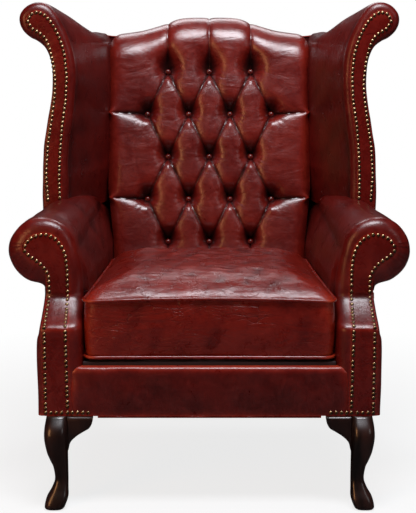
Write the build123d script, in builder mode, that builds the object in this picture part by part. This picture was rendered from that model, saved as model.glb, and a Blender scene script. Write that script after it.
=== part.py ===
"""Queen Anne wing chair: deep-buttoned leather back, rolled arms, loose cushion and cabriole legs.

Millimetres, +Z up, front towards -Y. The origin is on the floor, midway in width and depth.
Side pieces are modelled on the +X side and mirrored for the other.
"""
from build123d import *
from math import atan2, cos, degrees, floor, hypot, pi, radians, sin, sqrt
import os

os.makedirs("parts", exist_ok=True)

# Overall sizes
overall_width = 850
overall_depth = 824
overall_height = 1039
leg_height = 195
foot_projection = 42
heel_rake = 107
back_lean = 47
fit_gap = 0.3
overrun = 40

# Timber frame
timber = 28
rail_height = 97
base_width_front = 720
base_width_back = 600
post_depth = 42
back_post_width = 40
back_post_inset = 16
back_post_height = 935
arm_rail_height = 60
arm_rail_rise = 262
front_post_width = 42
front_post_inset = 19
front_post_depth = 52
corner_block_size = 62
corner_block_height = 56
lower_rail_height = 50
lower_rail_rise = 135
crest_rail_height = 100
crest_rail_cover = 26
wing_post_depth = 34

# Seat and cushion
seat_width_front = 532
seat_width_back = 456
back_depth = 195
deck_thickness = 8
deck_clearance = 7
cushion_setback = 10
cushion_height = 129
cushion_crown = 28
cushion_back_gap = 6
cushion_gap = 2
cushion_leather = 2
cushion_draw = 3
cushion_front_corner = 34
cushion_back_corner = 24
cushion_seam_drop = 9
cushion_bottom_tuck = 22
piping_radius = 3.8

# Upholstery
leather = 4
facing_thickness = 6
border_height = 105
border_thickness = 16
border_corner = 20
arm_height = 600
arm_roll_radius = 73
arm_roll_end_radius = 35
arm_roll_end_overhang = 18
arm_wall = 46
arm_straight_rise = 235
scroll_setback = 72
arm_corner_height = 190
arm_slope_rise = 50
arm_slope_sag = 3.5
arm_edge_roll = 16
arm_roll_angles = (165, 100, 35, -27, -90)
outer_edge_roll = 10
panel_bow = 8
panel_top_drop = 55
panel_low_rise = 86
facing_width_bottom = 56
facing_outer_inset = 12
wing_depth = 345
wing_thickness = 30
wing_end_depth = 105
crest_height = 988
crest_drop = 47
back_half_width = 240
tuft_pitch = 98
tuft_row_pitch = 99
tuft_top_height = 863
tuft_top_depth = 70
tuft_rake = 20
tuft_depth = 24
tuft_pinch = 2
back_foot_tuck = 28
tuft_rows = 5
crest_roll_depth = 45
button_radius = 6.5
button_dome = 3
button_lift = 4
button_shank_radius = 1.2
button_shank_length = 20

# Nails
nail_radius = 3.9
nail_dome = 2.6
nail_shank_radius = 0.9
nail_shank_length = 3.5
nail_pitch = 10.8
wing_nail_pitch = 10
nail_edge = 5
base_nail_height = 7
base_nail_pitch = 11.1
base_nail_count = 9
base_facing_nail_count = 5

# Legs and small hardware
leg_inset = 63
front_leg_width = 49
front_leg_depth = 86
leg_corner_share = 0.3
ear_width = 52
ear_drop = 54
ear_thickness = 24
back_leg_top = 38
back_leg_foot = 32
bolt_radius = 4
bolt_clearance = 0.3
bolt_length = 110
bolt_depth_share = 0.4
spring_wire = 3.6
spring_count = 5
spring_spacing = 88
spring_wave = 18
spring_runs = 11
clip_width = 16
clip_length = 22
clip_plate = 1.2
webbing_width = 50
webbing_thickness = 2
webbing_count = 5
webbing_pitch = 105
webbing_rise = 150
cover_thickness = 1.2
cover_overlap = 2
welt_size = 5
zip_width = 22
zip_length = 380
zip_tape_thickness = 1
slider_length = 14
slider_width = 8
slider_thickness = 4.2
pull_length = 24
pull_thickness = 1

# Places worked out from the sizes
half_width = overall_width / 2
front_y = foot_projection - overall_depth / 2
rear_y = overall_depth / 2 - heel_rake
rail_top = leg_height + rail_height
crevice_y = rear_y - back_depth
seat_depth = crevice_y - front_y
scroll_y = front_y + scroll_setback
wing_y = rear_y - wing_depth
wing_end_y = rear_y - wing_end_depth
deck_top = rail_top + deck_clearance + deck_thickness
arm_corner_z = leg_height + arm_corner_height
arm_slope_top_z = arm_corner_z + arm_slope_rise
border_top = leg_height + border_height
wing_rise = overall_height - arm_height
cavity_top = back_post_height - back_post_width - back_post_inset
far_y = overall_depth / 2 + overrun
back_half_width_low = seat_width_back / 2 - 2 * fit_gap
arm_pad_y = scroll_y + facing_thickness + fit_gap
arm_full_y = arm_pad_y + arm_edge_roll
wing_pad_y = wing_y + facing_thickness + fit_gap
wing_full_y = wing_pad_y + arm_edge_roll
arc_share = 1 - cos(pi / 4)


def between(a, b, share):
    """Point or number part of the way from a to b."""
    return a + (b - a) * share


def side_x(y):
    """Outer side of the base at a depth: it tapers towards the rear."""
    share = (y - front_y) / (rear_y - front_y)
    return between(base_width_front / 2, base_width_back / 2, share)


def seat_x(y):
    """Inner face of the arm at a depth: it tapers as far as the back cushion, then runs straight."""
    share = min(1, (y - front_y) / seat_depth)
    return between(seat_width_front / 2, seat_width_back / 2, share)


def rear(z):
    """Depth of the rear face at a height: the back leans."""
    return rear_y + back_lean * (z - leg_height) / (crest_height - leg_height)


def post_front(z):
    """Depth of the front of the back posts at a height."""
    return rear(z) - facing_thickness - post_depth


def tuft_y(z):
    """Depth of the button plane at a height: the inside back is raked."""
    return rear_y - tuft_top_depth - (tuft_top_height - z) * tuft_rake / tuft_row_pitch


def arm_roll(y):
    """Centre and radius of the arm roll at a depth: a cone that narrows towards the rear."""
    share = max(0, (y - arm_full_y) / (rear_y - arm_full_y))
    radius = between(arm_roll_radius, arm_roll_end_radius, share)
    end_x = base_width_back / 2 + arm_roll_end_overhang - arm_roll_end_radius
    center_x = between(half_width - arm_roll_radius, end_x, share)
    return center_x, arm_height - radius, radius


def trace(start, steps):
    """Lines and arcs from a start point: one point is a line, two are an arc's middle and end."""
    here = start
    for step in steps:
        if len(step) == 1:
            Line(here, step[0])
        else:
            ThreePointArc(here, step[0], step[1])
        here = step[-1]
    if here != start:
        Line(here, start)


def across(y, start, steps):
    """Face in the XZ plane at a depth."""
    with BuildSketch(Plane.XZ.offset(-y)) as section:
        with BuildLine():
            trace(start, steps)
        make_face()
    return section.sketch


def sideways(x, start, steps):
    """Face in the YZ plane at a distance from the middle."""
    with BuildSketch(Plane.YZ.offset(x)) as section:
        with BuildLine():
            trace(start, steps)
        make_face()
    return section.sketch


def level(z, start, steps):
    """Face in the XY plane at a height."""
    with BuildSketch(Plane.XY.offset(z)) as section:
        with BuildLine():
            trace(start, steps)
        make_face()
    return section.sketch


def lines(points):
    """Straight steps through points."""
    return [(point,) for point in points]


def block(low, high):
    """Box between two corners."""
    size = [b - a for a, b in zip(low, high)]
    middle = [(a + b) / 2 for a, b in zip(low, high)]
    return Pos(*middle) * Box(*size, mode=Mode.PRIVATE)


def finish(name, builder):
    """Label a finished piece and write it."""
    builder.part.label = name
    export_step(builder.part, f"parts/{name}.step")


# Seat rails and corner blocks
front_rail_y = front_y + border_thickness + fit_gap
front_rail_back_y = front_rail_y + timber
back_rail_y = rear(leg_height) - facing_thickness - timber
front_post_outer_x = base_width_front / 2 - front_post_inset
front_post_x = front_post_outer_x - front_post_width
back_post_x = base_width_back / 2 - back_post_inset - back_post_width
back_post_outer_x = back_post_x + back_post_width
side_rail_front_y = front_y + facing_thickness + front_post_depth + fit_gap
side_rail_outer_front = front_post_outer_x
side_rail_outer_back = back_post_outer_x

with BuildPart() as front_seat_rail:
    add(block((-front_post_x, front_rail_y, leg_height), (front_post_x, front_rail_back_y, rail_top)))
finish("front_seat_rail", front_seat_rail)

with BuildPart() as back_seat_rail:
    add(block((-back_post_x, back_rail_y, leg_height), (back_post_x, back_rail_y + timber, rail_top)))
finish("back_seat_rail", back_seat_rail)

side_rail_end_y = post_front(leg_height)
side_rail_plan = [
    (side_rail_outer_front, side_rail_front_y),
    (side_rail_outer_back, side_rail_end_y),
    (side_rail_outer_back - timber, side_rail_end_y),
    (side_rail_outer_front - timber, side_rail_front_y),
]
with BuildPart() as right_seat_rail:
    extrude(level(leg_height, side_rail_plan[0], lines(side_rail_plan[1:])), amount=rail_height)
finish("right_seat_rail", right_seat_rail)

with BuildPart() as left_seat_rail:
    mirror(right_seat_rail.part, about=Plane.YZ)
finish("left_seat_rail", left_seat_rail)

block_z = rail_top - corner_block_height - timber / 2
front_block_x = front_post_x - fit_gap
back_block_x = back_post_x - fit_gap
block_faces = []
for corner_x, corner_y, turn in (
    (front_block_x, front_rail_back_y, 1),
    (back_block_x, back_rail_y, -1),
):
    for side in (-1, 1):
        tip = (side * corner_x, corner_y)
        inner = (side * (corner_x - corner_block_size), corner_y)
        behind = (side * corner_x, corner_y + turn * corner_block_size)
        block_faces.append(level(block_z, tip, lines([inner, behind])))
with BuildPart() as corner_blocks:
    for face in block_faces:
        extrude(face, amount=corner_block_height)
finish("corner_blocks", corner_blocks)


# Front post: its front edge follows the arm front, curving back below the scroll
def slope_points(inset):
    """Arm front curve from its top, through its middle, to its front corner, set back by an inset."""
    length = hypot(scroll_setback, arm_slope_rise)
    drop = inset * (length - arm_slope_rise) / scroll_setback
    top = (scroll_y + inset, arm_slope_top_z - drop)
    low = (front_y + inset, arm_corner_z - drop)
    middle = (
        (top[0] + low[0]) / 2 + arm_slope_sag * arm_slope_rise / length,
        (top[1] + low[1]) / 2 - arm_slope_sag * scroll_setback / length,
    )
    return top, middle, low


def arm_front_region(inset, top_z, back_y):
    """Side profile of everything behind the arm front curve."""
    top, middle, low = slope_points(inset)
    steps = [
        ((low[0], low[1]),),
        (middle, top),
        ((top[0], top_z),),
        ((back_y, top_z),),
        ((back_y, leg_height),),
    ]
    return (low[0], leg_height), steps


arm_rail_bottom = leg_height + arm_rail_rise
arm_rail_top = arm_rail_bottom + arm_rail_height
post_top, post_middle, post_low = slope_points(facing_thickness + fit_gap)
post_back_y = post_top[0] + front_post_depth
post_steps = [
    (post_low,),
    (post_middle, post_top),
    ((post_top[0], arm_rail_top),),
    ((post_back_y, arm_rail_top),),
    ((post_back_y, arm_rail_bottom - timber / 2),),
    ((post_low[0] + front_post_depth, post_low[1] - timber / 2),),
    ((post_low[0] + front_post_depth, leg_height),),
]
bolt_x = side_x(front_y) - leg_inset + front_leg_width / 2
bolt_y = post_low[0] + front_post_depth / 4
with BuildPart() as right_front_post:
    extrude(sideways(front_post_x, (post_low[0], leg_height), post_steps), amount=front_post_width)
    with Locations(Plane.XY.offset(leg_height)):
        with Locations((bolt_x, bolt_y)):
            Cylinder(
                bolt_radius + bolt_clearance,
                bolt_length * (1 - bolt_depth_share) + fit_gap,
                align=(Align.CENTER, Align.CENTER, Align.MIN),
                mode=Mode.SUBTRACT,
            )
finish("right_front_post", right_front_post)

with BuildPart() as left_front_post:
    mirror(right_front_post.part, about=Plane.YZ)
finish("left_front_post", left_front_post)


# Back posts, lower rail and crest rail
def lean_band(front_offset, back_offset, low_z, high_z):
    """Side profile of a board that follows the lean, between two depths ahead of the rear face."""
    start = (rear(low_z) - front_offset, low_z)
    rest = [
        (rear(high_z) - front_offset, high_z),
        (rear(high_z) - back_offset, high_z),
        (rear(low_z) - back_offset, low_z),
    ]
    return start, lines(rest)


post_front_offset = facing_thickness + post_depth
back_bolt_y = rear(leg_height) - facing_thickness - post_depth / 3
back_bolt_x = back_post_x + back_post_width / 2
with BuildPart() as right_back_post:
    profile = lean_band(post_front_offset, facing_thickness, leg_height, back_post_height)
    extrude(sideways(back_post_x, *profile), amount=back_post_width)
    with Locations(Plane.XY.offset(leg_height)):
        with Locations((back_bolt_x, back_bolt_y)):
            Cylinder(
                bolt_radius + bolt_clearance,
                bolt_length * (1 - bolt_depth_share) + fit_gap,
                align=(Align.CENTER, Align.CENTER, Align.MIN),
                mode=Mode.SUBTRACT,
            )
finish("right_back_post", right_back_post)

with BuildPart() as left_back_post:
    mirror(right_back_post.part, about=Plane.YZ)
finish("left_back_post", left_back_post)

lower_rail_z = leg_height + lower_rail_rise
with BuildPart() as lower_back_rail:
    profile = lean_band(
        post_front_offset, post_front_offset - timber, lower_rail_z, lower_rail_z + lower_rail_height
    )
    extrude(sideways(-back_post_x, *profile), amount=2 * back_post_x)
finish("lower_back_rail", lower_back_rail)

# Serpentine crest: a raised middle, a dip each side and nearly level shoulders
crest_x_shares = (0.32, 0.49, 0.66, 0.84, 1.0)
crest_fall_shares = (0.13, 0.45, 0.70, 0.82, 0.94)


def crest_steps(half, lower):
    """Points and arcs along the crest from the +X shoulder to the -X shoulder."""
    knots = []
    for x_share, fall_share in zip(crest_x_shares, crest_fall_shares):
        knots.append((x_share * half, crest_height - fall_share * crest_drop - lower))
    near, dip, foot, shoulder, end = knots
    left = [(-x, z) for x, z in knots]
    return end, [
        (shoulder, foot),
        (dip, near),
        ((0, crest_height - lower), left[0]),
        (left[1], left[2]),
        (left[3], left[4]),
    ]


crest_rail_bottom = crest_height - crest_rail_cover - crest_rail_height
crest_rail_back = rear(crest_rail_bottom) - facing_thickness - fit_gap
crest_start, crest_curve = crest_steps(back_post_x, crest_rail_cover)
with BuildPart() as crest_rail:
    outline_steps = crest_curve + lines([(-back_post_x, crest_rail_bottom), (back_post_x, crest_rail_bottom)])
    extrude(across(crest_rail_back, crest_start, outline_steps), amount=timber)
finish("crest_rail", crest_rail)

# Arm rail: a straight board from the front post to the back post, inside the roll
arm_rail_front = [
    (front_post_x + timber / 4, arm_rail_bottom),
    (front_post_x + timber / 4 + timber, arm_rail_bottom),
    (front_post_x + timber / 4 + timber, arm_rail_top),
    (front_post_x + timber / 4, arm_rail_top),
]
arm_rail_shift = back_post_x + timber / 3 - arm_rail_front[0][0]
arm_rail_end_y = post_front(arm_rail_bottom) - webbing_thickness - fit_gap
arm_rail_back = [(x + arm_rail_shift, z + timber) for x, z in arm_rail_front]
with BuildPart() as right_arm_rail:
    loft(
        [
            across(post_back_y, arm_rail_front[0], lines(arm_rail_front[1:])),
            across(arm_rail_end_y, arm_rail_back[0], lines(arm_rail_back[1:])),
        ],
        ruled=True,
    )
finish("right_arm_rail", right_arm_rail)

with BuildPart() as left_arm_rail:
    mirror(right_arm_rail.part, about=Plane.YZ)
finish("left_arm_rail", left_arm_rail)

# Wing outline at the front: shares of the half width and of the wing's rise above the arm
wing_inner_shares = [(0.746, -0.06), (0.746, 0.17), (0.713, 0.45), (0.698, 0.62), (0.709, 0.74), (0.74, 0.84)]
wing_crown_shares = [(0.785, 0.93), (0.873, 1.0), (0.957, 0.98), (0.984, 0.92), (0.955, 0.83), (0.871, 0.80)]
wing_outer_shares = [
    (0.852, 0.785), (0.826, 0.69), (0.821, 0.61), (0.835, 0.48), (0.86, 0.33), (0.877, 0.16), (0.882, -0.09),
]
# Heights of the same points where the wing meets the back, as shares of the same rise
wing_inner_end_shares = (-0.06, 0.17, 0.42, 0.58, 0.70, 0.78)
wing_crown_end_shares = (0.80, 0.815, 0.80, 0.77, 0.72, 0.69)
wing_outer_end_shares = (0.66, 0.58, 0.51, 0.40, 0.27, 0.13, -0.09)
wing_overhang_end_share = 0.3


def wing_line(front_shares, end_shares, y, meets_back):
    """Points of the wing outline at a depth: each runs straight back to where it meets the back."""
    along = min(1, max(0, (y - wing_full_y) / (wing_end_y - wing_full_y)))
    foot_x = wing_outer_shares[-1][0] * half_width
    points = []
    for (x_share, z_share), end_share in zip(front_shares, end_shares):
        x = x_share * half_width
        end_x = back_half_width + fit_gap
        if not meets_back:
            end_x = base_width_back / 2 - fit_gap + (x - foot_x) * wing_overhang_end_share
        z = arm_height + wing_rise * between(z_share, end_share, along)
        points.append((between(x, end_x, along), z))
    return points


def wing_pad_section(y, inset):
    """Wing stuffing cut across: inner face, crown and scroll, and its hidden back face."""
    inner = wing_line(wing_inner_shares, wing_inner_end_shares, y, True)
    crown = wing_line(wing_crown_shares, wing_crown_end_shares, y, False)
    inner = [(x + inset, z) for x, z in inner]
    middle_x = (inner[-1][0] + crown[-1][0]) / 2
    middle_z = crown[-1][1]
    size = hypot(crown[3][0] - middle_x, crown[1][1] - middle_z)
    shrink = 1 - inset / size
    crown = [(between(middle_x, x, shrink), between(middle_z, z, shrink)) for x, z in crown]
    neck = (inner[4][0] + wing_thickness - inset, crown[-1][1] - wing_thickness / 2)
    foot = (inner[0][0] + wing_thickness - inset, inner[0][1])
    steps = lines(inner[1:]) + [(crown[0], crown[1]), (crown[2], crown[3]), (crown[4], crown[5])]
    steps += lines([neck, (inner[3][0] + wing_thickness - inset, inner[3][1]), foot])
    return across(y, inner[0], steps)


def wing_panel_line(y):
    """Outer line of the wing's outside panel, from under the scroll down to the arm."""
    return wing_line(wing_outer_shares, wing_outer_end_shares, y, False)


wing_edge_stations = [
    (wing_pad_y, arm_edge_roll),
    (wing_pad_y + arm_edge_roll * arc_share, arm_edge_roll * arc_share),
    (wing_full_y, 0),
]
wing_body_stations = [(wing_full_y, 0), (wing_end_y, 0), (far_y, 0)]


def arm_section(y, inset):
    """Arm stuffing cut across: wall, tangent run up to the roll, the roll and its hidden edge."""
    center_x, center_z, radius = arm_roll(y)
    radius = radius - inset
    wall_x = seat_x(y) + inset
    outer_x = seat_x(y) + arm_wall

    def on_roll(angle):
        return center_x + radius * cos(radians(angle)), center_z + radius * sin(radians(angle))

    start, top, outer, under, low = [on_roll(angle) for angle in arm_roll_angles]
    steps = [
        ((wall_x, leg_height + arm_straight_rise),),
        (start,),
        (top, outer),
        (under, low),
        ((outer_x, center_z - radius),),
        ((outer_x, rail_top + fit_gap),),
    ]
    return across(y, (wall_x, rail_top + fit_gap), steps)


arm_stations = [
    (arm_pad_y, arm_edge_roll),
    (arm_pad_y + arm_edge_roll * arc_share, arm_edge_roll * arc_share),
    (arm_full_y, 0),
    (crevice_y, 0),
    (far_y, 0),
]

# Room for the posts and webbing behind all the stuffing, and everything behind the rear face
cavity_front = post_front_offset + webbing_thickness + 2 * fit_gap
with BuildPart() as frame_room:
    profile = lean_band(cavity_front, -far_y, 0, cavity_top)
    extrude(sideways(-back_post_outer_x - fit_gap, *profile), amount=2 * (back_post_outer_x + fit_gap))
with BuildPart() as behind_chair:
    profile = lean_band(facing_thickness + fit_gap, -far_y, 0, overall_height + overrun)
    extrude(sideways(-half_width, *profile), amount=overall_width)

# Inside arm: the stuffed wall and roll, with a forward wall below the curve of the arm front
wall_front_y = front_y + facing_thickness
wall_back_y = arm_pad_y + 2 * arm_edge_roll
forward_outer_x = front_post_x - fit_gap
forward_plan = [
    ((seat_x(front_y) + arm_edge_roll, wall_front_y),),
    (
        (seat_x(front_y) + arm_edge_roll * arc_share, wall_front_y + arm_edge_roll * arc_share),
        (seat_x(front_y), wall_front_y + arm_edge_roll),
    ),
    ((seat_x(wall_back_y), wall_back_y),),
    ((forward_outer_x, wall_back_y),),
]
with BuildPart() as right_inside_arm:
    loft([arm_section(y, inset) for y, inset in arm_stations], ruled=True)
    forward = extrude(
        level(border_top + fit_gap, (forward_outer_x, wall_front_y), forward_plan),
        amount=overall_height,
        mode=Mode.PRIVATE,
    )
    slope = extrude(
        sideways(0, *arm_front_region(facing_thickness, arm_slope_top_z + arm_edge_roll, wall_back_y)),
        amount=half_width,
        mode=Mode.PRIVATE,
    )
    add(forward & slope)
    add(right_front_post.part, mode=Mode.SUBTRACT)
    add(right_arm_rail.part, mode=Mode.SUBTRACT)
    add(frame_room.part, mode=Mode.SUBTRACT)
    add(behind_chair.part, mode=Mode.SUBTRACT)
finish("right_inside_arm", right_inside_arm)

with BuildPart() as left_inside_arm:
    mirror(right_inside_arm.part, about=Plane.YZ)
finish("left_inside_arm", left_inside_arm)

# Arm facing: the nailed leather panel on the arm front, scroll shaped above and a strip below
facing_head_shares = [
    (-0.12, -0.64), (-0.02, -0.43), (0.2, -0.27), (0.42, -0.1), (0.56, 0.1), (0.52, 0.32), (0.3, 0.53),
    (0.08, 0.61), (-0.17, 0.62), (-0.42, 0.5), (-0.62, 0.27), (-0.74, -0.02), (-0.79, -0.5),
]
facing_shoulder_share = 0.2
facing_top, facing_middle, facing_low = slope_points(0)
facing_outer_x = base_width_front / 2 - facing_outer_inset
facing_inner_x = facing_outer_x - facing_width_bottom
facing_waist_x = facing_inner_x + nail_edge / 2


scroll_x, scroll_z, scroll_radius = arm_roll(scroll_y)
head = []
for x_share, z_share in facing_head_shares:
    head.append((scroll_x + x_share * scroll_radius, scroll_z + z_share * scroll_radius))
facing_steps = lines(
    [(facing_outer_x, arm_corner_z), (head[0][0], arm_slope_top_z), head[0]]
) + [
    (head[1], head[2]),
    (head[3], head[4]),
    (head[5], head[6]),
    (head[7], head[8]),
    (head[9], head[10]),
    (head[11], head[12]),
] + lines([(facing_waist_x, arm_corner_z), (facing_inner_x, leg_height)])
facing_start = (facing_outer_x, leg_height)

facing_back = slope_points(facing_thickness)
slab_steps = [
    (facing_low,),
    (facing_middle, facing_top),
    ((scroll_y, arm_height),),
    ((scroll_y + facing_thickness, arm_height),),
    (facing_back[0],),
    (facing_back[1], facing_back[2]),
    ((front_y + facing_thickness, leg_height),),
]
with BuildPart() as right_arm_facing:
    extrude(sideways(0, (front_y, leg_height), slab_steps), amount=half_width)
    front_view = extrude(
        across(0, facing_start, facing_steps), amount=overall_depth / 2, mode=Mode.PRIVATE
    )
    add(front_view, mode=Mode.INTERSECT)
finish("right_arm_facing", right_arm_facing)

with BuildPart() as left_arm_facing:
    mirror(right_arm_facing.part, about=Plane.YZ)
finish("left_arm_facing", left_arm_facing)

# Outside arm: a bowed panel under the roll, with a padded front edge beside the facing
panel_in_shares = (-1.0, -0.65, 0.0, 0.0, -0.3)


def arm_panel_line(y):
    """Outer line of the outside arm panel at a depth, from under the roll down to the rail."""
    center_x, center_z, radius = arm_roll(y)
    top_z = center_z - radius - fit_gap
    heights = [top_z, top_z - panel_top_drop, top_z - 2 * panel_top_drop]
    heights += [leg_height + panel_low_rise, leg_height]
    return [(side_x(y) + share * panel_bow, z) for share, z in zip(panel_in_shares, heights)]


def panel_section(y, outer, thickness):
    """Thin panel section between its outer line and the same line moved inwards."""
    inner = [(x - thickness, z) for x, z in reversed(outer)]
    return across(y, outer[0], lines(outer[1:] + inner))


edge_back_y = arm_pad_y
edge_line = arm_panel_line(scroll_y)
post_clear_x = front_post_outer_x + fit_gap
edge_inner_line = [(post_clear_x, leg_height), (post_clear_x, edge_line[0][1])]
edge_plan = [
    ((side_x(front_y) - outer_edge_roll, wall_front_y),),
    (
        (side_x(front_y) - outer_edge_roll * arc_share, wall_front_y + outer_edge_roll * arc_share),
        (side_x(front_y), wall_front_y + outer_edge_roll),
    ),
    ((side_x(front_y), edge_back_y),),
    ((post_clear_x, edge_back_y),),
]
with BuildPart() as right_outside_arm:
    loft(
        [panel_section(y, arm_panel_line(y), leather) for y in (edge_back_y, arm_full_y, far_y)],
        ruled=True,
    )
    edge = extrude(
        level(leg_height, (post_clear_x, wall_front_y), edge_plan),
        amount=overall_height,
        mode=Mode.PRIVATE,
    )
    edge_front_view = extrude(
        across(0, edge_line[0], lines(edge_line[1:] + edge_inner_line)),
        amount=overall_depth / 2,
        mode=Mode.PRIVATE,
    )
    edge_slope = extrude(
        sideways(0, *arm_front_region(facing_thickness, arm_height, edge_back_y)),
        amount=half_width,
        mode=Mode.PRIVATE,
    )
    add(edge & edge_front_view & edge_slope)
    add(right_front_post.part, mode=Mode.SUBTRACT)
    add(behind_chair.part, mode=Mode.SUBTRACT)
finish("right_outside_arm", right_outside_arm)

with BuildPart() as left_outside_arm:
    mirror(right_outside_arm.part, about=Plane.YZ)
finish("left_outside_arm", left_outside_arm)

# Wing timber: a post behind the wing facing and a rail along the top to the back post
wing_post_width = timber / 2
wing_post_front_y = wing_full_y + fit_gap
wing_post_back_y = wing_post_front_y + wing_post_depth


def wing_board_section(y, first, last):
    """Board just inside the outside wing panel, between two points of its line."""
    outer = [(x - leather - 2 * fit_gap, z) for x, z in wing_panel_line(y)[first:last]]
    return panel_section(y, outer, wing_post_width)


with BuildPart() as right_wing_post:
    loft(
        [
            wing_board_section(y, 0, len(wing_outer_shares))
            for y in (wing_post_front_y, wing_post_back_y)
        ],
        ruled=True,
    )
    add(right_inside_arm.part, mode=Mode.SUBTRACT)
finish("right_wing_post", right_wing_post)

with BuildPart() as left_wing_post:
    mirror(right_wing_post.part, about=Plane.YZ)
finish("left_wing_post", left_wing_post)

wing_rail_low_z = arm_height + wing_rise * wing_outer_end_shares[2]
with BuildPart() as right_wing_rail:
    loft(
        [
            wing_board_section(y, 1, 3)
            for y in (wing_post_back_y, wing_end_y, post_front(wing_rail_low_z))
        ],
        ruled=True,
    )
    add(right_back_post.part, mode=Mode.SUBTRACT)
finish("right_wing_rail", right_wing_rail)

with BuildPart() as left_wing_rail:
    mirror(right_wing_rail.part, about=Plane.YZ)
finish("left_wing_rail", left_wing_rail)

# Inside wing: stuffing with a rolled front edge, a flared inner face and a scroll along its top
with BuildPart() as right_inside_wing:
    loft([wing_pad_section(y, inset) for y, inset in wing_body_stations], ruled=True)
    loft([wing_pad_section(y, inset) for y, inset in wing_edge_stations], ruled=True)
    add(right_inside_arm.part, mode=Mode.SUBTRACT)
    add(right_back_post.part, mode=Mode.SUBTRACT)
    add(right_wing_post.part, mode=Mode.SUBTRACT)
    add(right_wing_rail.part, mode=Mode.SUBTRACT)
    add(crest_rail.part, mode=Mode.SUBTRACT)
    add(frame_room.part, mode=Mode.SUBTRACT)
    add(behind_chair.part, mode=Mode.SUBTRACT)
finish("right_inside_wing", right_inside_wing)

with BuildPart() as left_inside_wing:
    mirror(right_inside_wing.part, about=Plane.YZ)
finish("left_inside_wing", left_inside_wing)

with BuildPart() as right_outside_wing:
    loft(
        [
            panel_section(y, wing_panel_line(y), leather)
            for y in (wing_pad_y, wing_full_y, wing_end_y, far_y)
        ],
        ruled=True,
    )
    add(right_inside_arm.part, mode=Mode.SUBTRACT)
    add(behind_chair.part, mode=Mode.SUBTRACT)
finish("right_outside_wing", right_outside_wing)

with BuildPart() as left_outside_wing:
    mirror(right_outside_wing.part, about=Plane.YZ)
finish("left_outside_wing", left_outside_wing)

# Wing facing: the nailed strip on the wing's front edge, with a scroll head at its top
wing_face_outer_shares = [
    (0.866, -0.09), (0.873, 0.13), (0.861, 0.28), (0.838, 0.41), (0.819, 0.54), (0.816, 0.61),
    (0.824, 0.68), (0.84, 0.763), (0.865, 0.81),
]
wing_face_head_shares = [
    (0.895, 0.836), (0.935, 0.865), (0.958, 0.91), (0.93, 0.952), (0.885, 0.963), (0.849, 0.948),
    (0.81, 0.905), (0.788, 0.873),
]
wing_face_inner_shares = [
    (0.769, 0.83), (0.753, 0.785), (0.741, 0.735), (0.732, 0.63), (0.739, 0.51), (0.76, 0.38),
    (0.774, 0.24), (0.781, 0.105), (0.779, -0.09),
]


def wing_face(share):
    """Point on the wing's front face."""
    return share[0] * half_width, arm_height + share[1] * wing_rise


outer_face = [wing_face(share) for share in wing_face_outer_shares]
head_face = [wing_face(share) for share in wing_face_head_shares]
inner_face = [wing_face(share) for share in wing_face_inner_shares]
wing_facing_steps = lines(outer_face[1:])
for index in range(0, len(head_face), 2):
    wing_facing_steps.append((head_face[index], head_face[index + 1]))
wing_facing_steps += lines(inner_face)
with BuildPart() as right_wing_facing:
    extrude(across(wing_y + facing_thickness, outer_face[0], wing_facing_steps), amount=facing_thickness)
    add(right_inside_arm.part, mode=Mode.SUBTRACT)
finish("right_wing_facing", right_wing_facing)

with BuildPart() as left_wing_facing:
    mirror(right_wing_facing.part, about=Plane.YZ)
finish("left_wing_facing", left_wing_facing)


# Inside back: each diamond swells between folds that run from button to button
def odd_bounds(half):
    """Fold places across a row with a button in the middle."""
    pinch = tuft_pinch / 2
    right = [pinch, tuft_pitch - pinch, tuft_pitch + pinch, half - tuft_pinch, half]
    return [-x for x in reversed(right)] + right


def even_bounds(half):
    """Fold places across a row with its buttons between those of the row above."""
    pinch = tuft_pinch / 2
    right = []
    for place in (tuft_pitch / 2, tuft_pitch * 3 / 2):
        right += [place - pinch, place + pinch]
    right.append(half)
    return [-x for x in reversed(right)] + right


def back_section(z, bounds, fold_y, swell):
    """Level section of the inside back: arcs between the folds at the front, straight elsewhere."""
    steps = []
    for low, high in zip(bounds, bounds[1:]):
        depth = min(swell, (high - low) * tuft_depth / tuft_pitch)
        steps.append((((low + high) / 2, fold_y - depth), (high, fold_y)))
    steps += lines([(bounds[-1], far_y), (bounds[0], far_y)])
    return level(z, (bounds[0], fold_y), steps)


row_heights = [tuft_top_height - row * tuft_row_pitch for row in range(tuft_rows)]
back_foot_z = deck_top + fit_gap
crest_run = crest_height - tuft_top_height
crest_roll_shares = [(0.34, 0.05), (0.62, 0.2), (0.82, 0.45), (0.94, 0.7), (1.02, 1.0)]
back_sections = [
    back_section(
        back_foot_z, odd_bounds(back_half_width_low), crevice_y + back_foot_tuck, tuft_depth / 2
    )
]
for row in reversed(range(tuft_rows)):
    z = row_heights[row]
    half = back_half_width_low if z < arm_height else back_half_width
    bounds = even_bounds(half) if row % 2 else odd_bounds(half)
    back_sections.append(back_section(z, bounds, tuft_y(z), tuft_depth))
for z_share, y_share in crest_roll_shares:
    z = tuft_top_height + z_share * crest_run
    swell = tuft_depth * (1 - y_share / 2)
    fold_y = tuft_y(z) + y_share * crest_roll_depth
    back_sections.append(back_section(z, odd_bounds(back_half_width), fold_y, swell))

crest_end, crest_curve = crest_steps(back_half_width, 0)
button_spots = []
for row in range(tuft_rows):
    places = (-3, -1, 1, 3) if row % 2 else (-2, 0, 2)
    for place in places:
        button_spots.append((place * tuft_pitch / 2, row_heights[row]))

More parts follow.
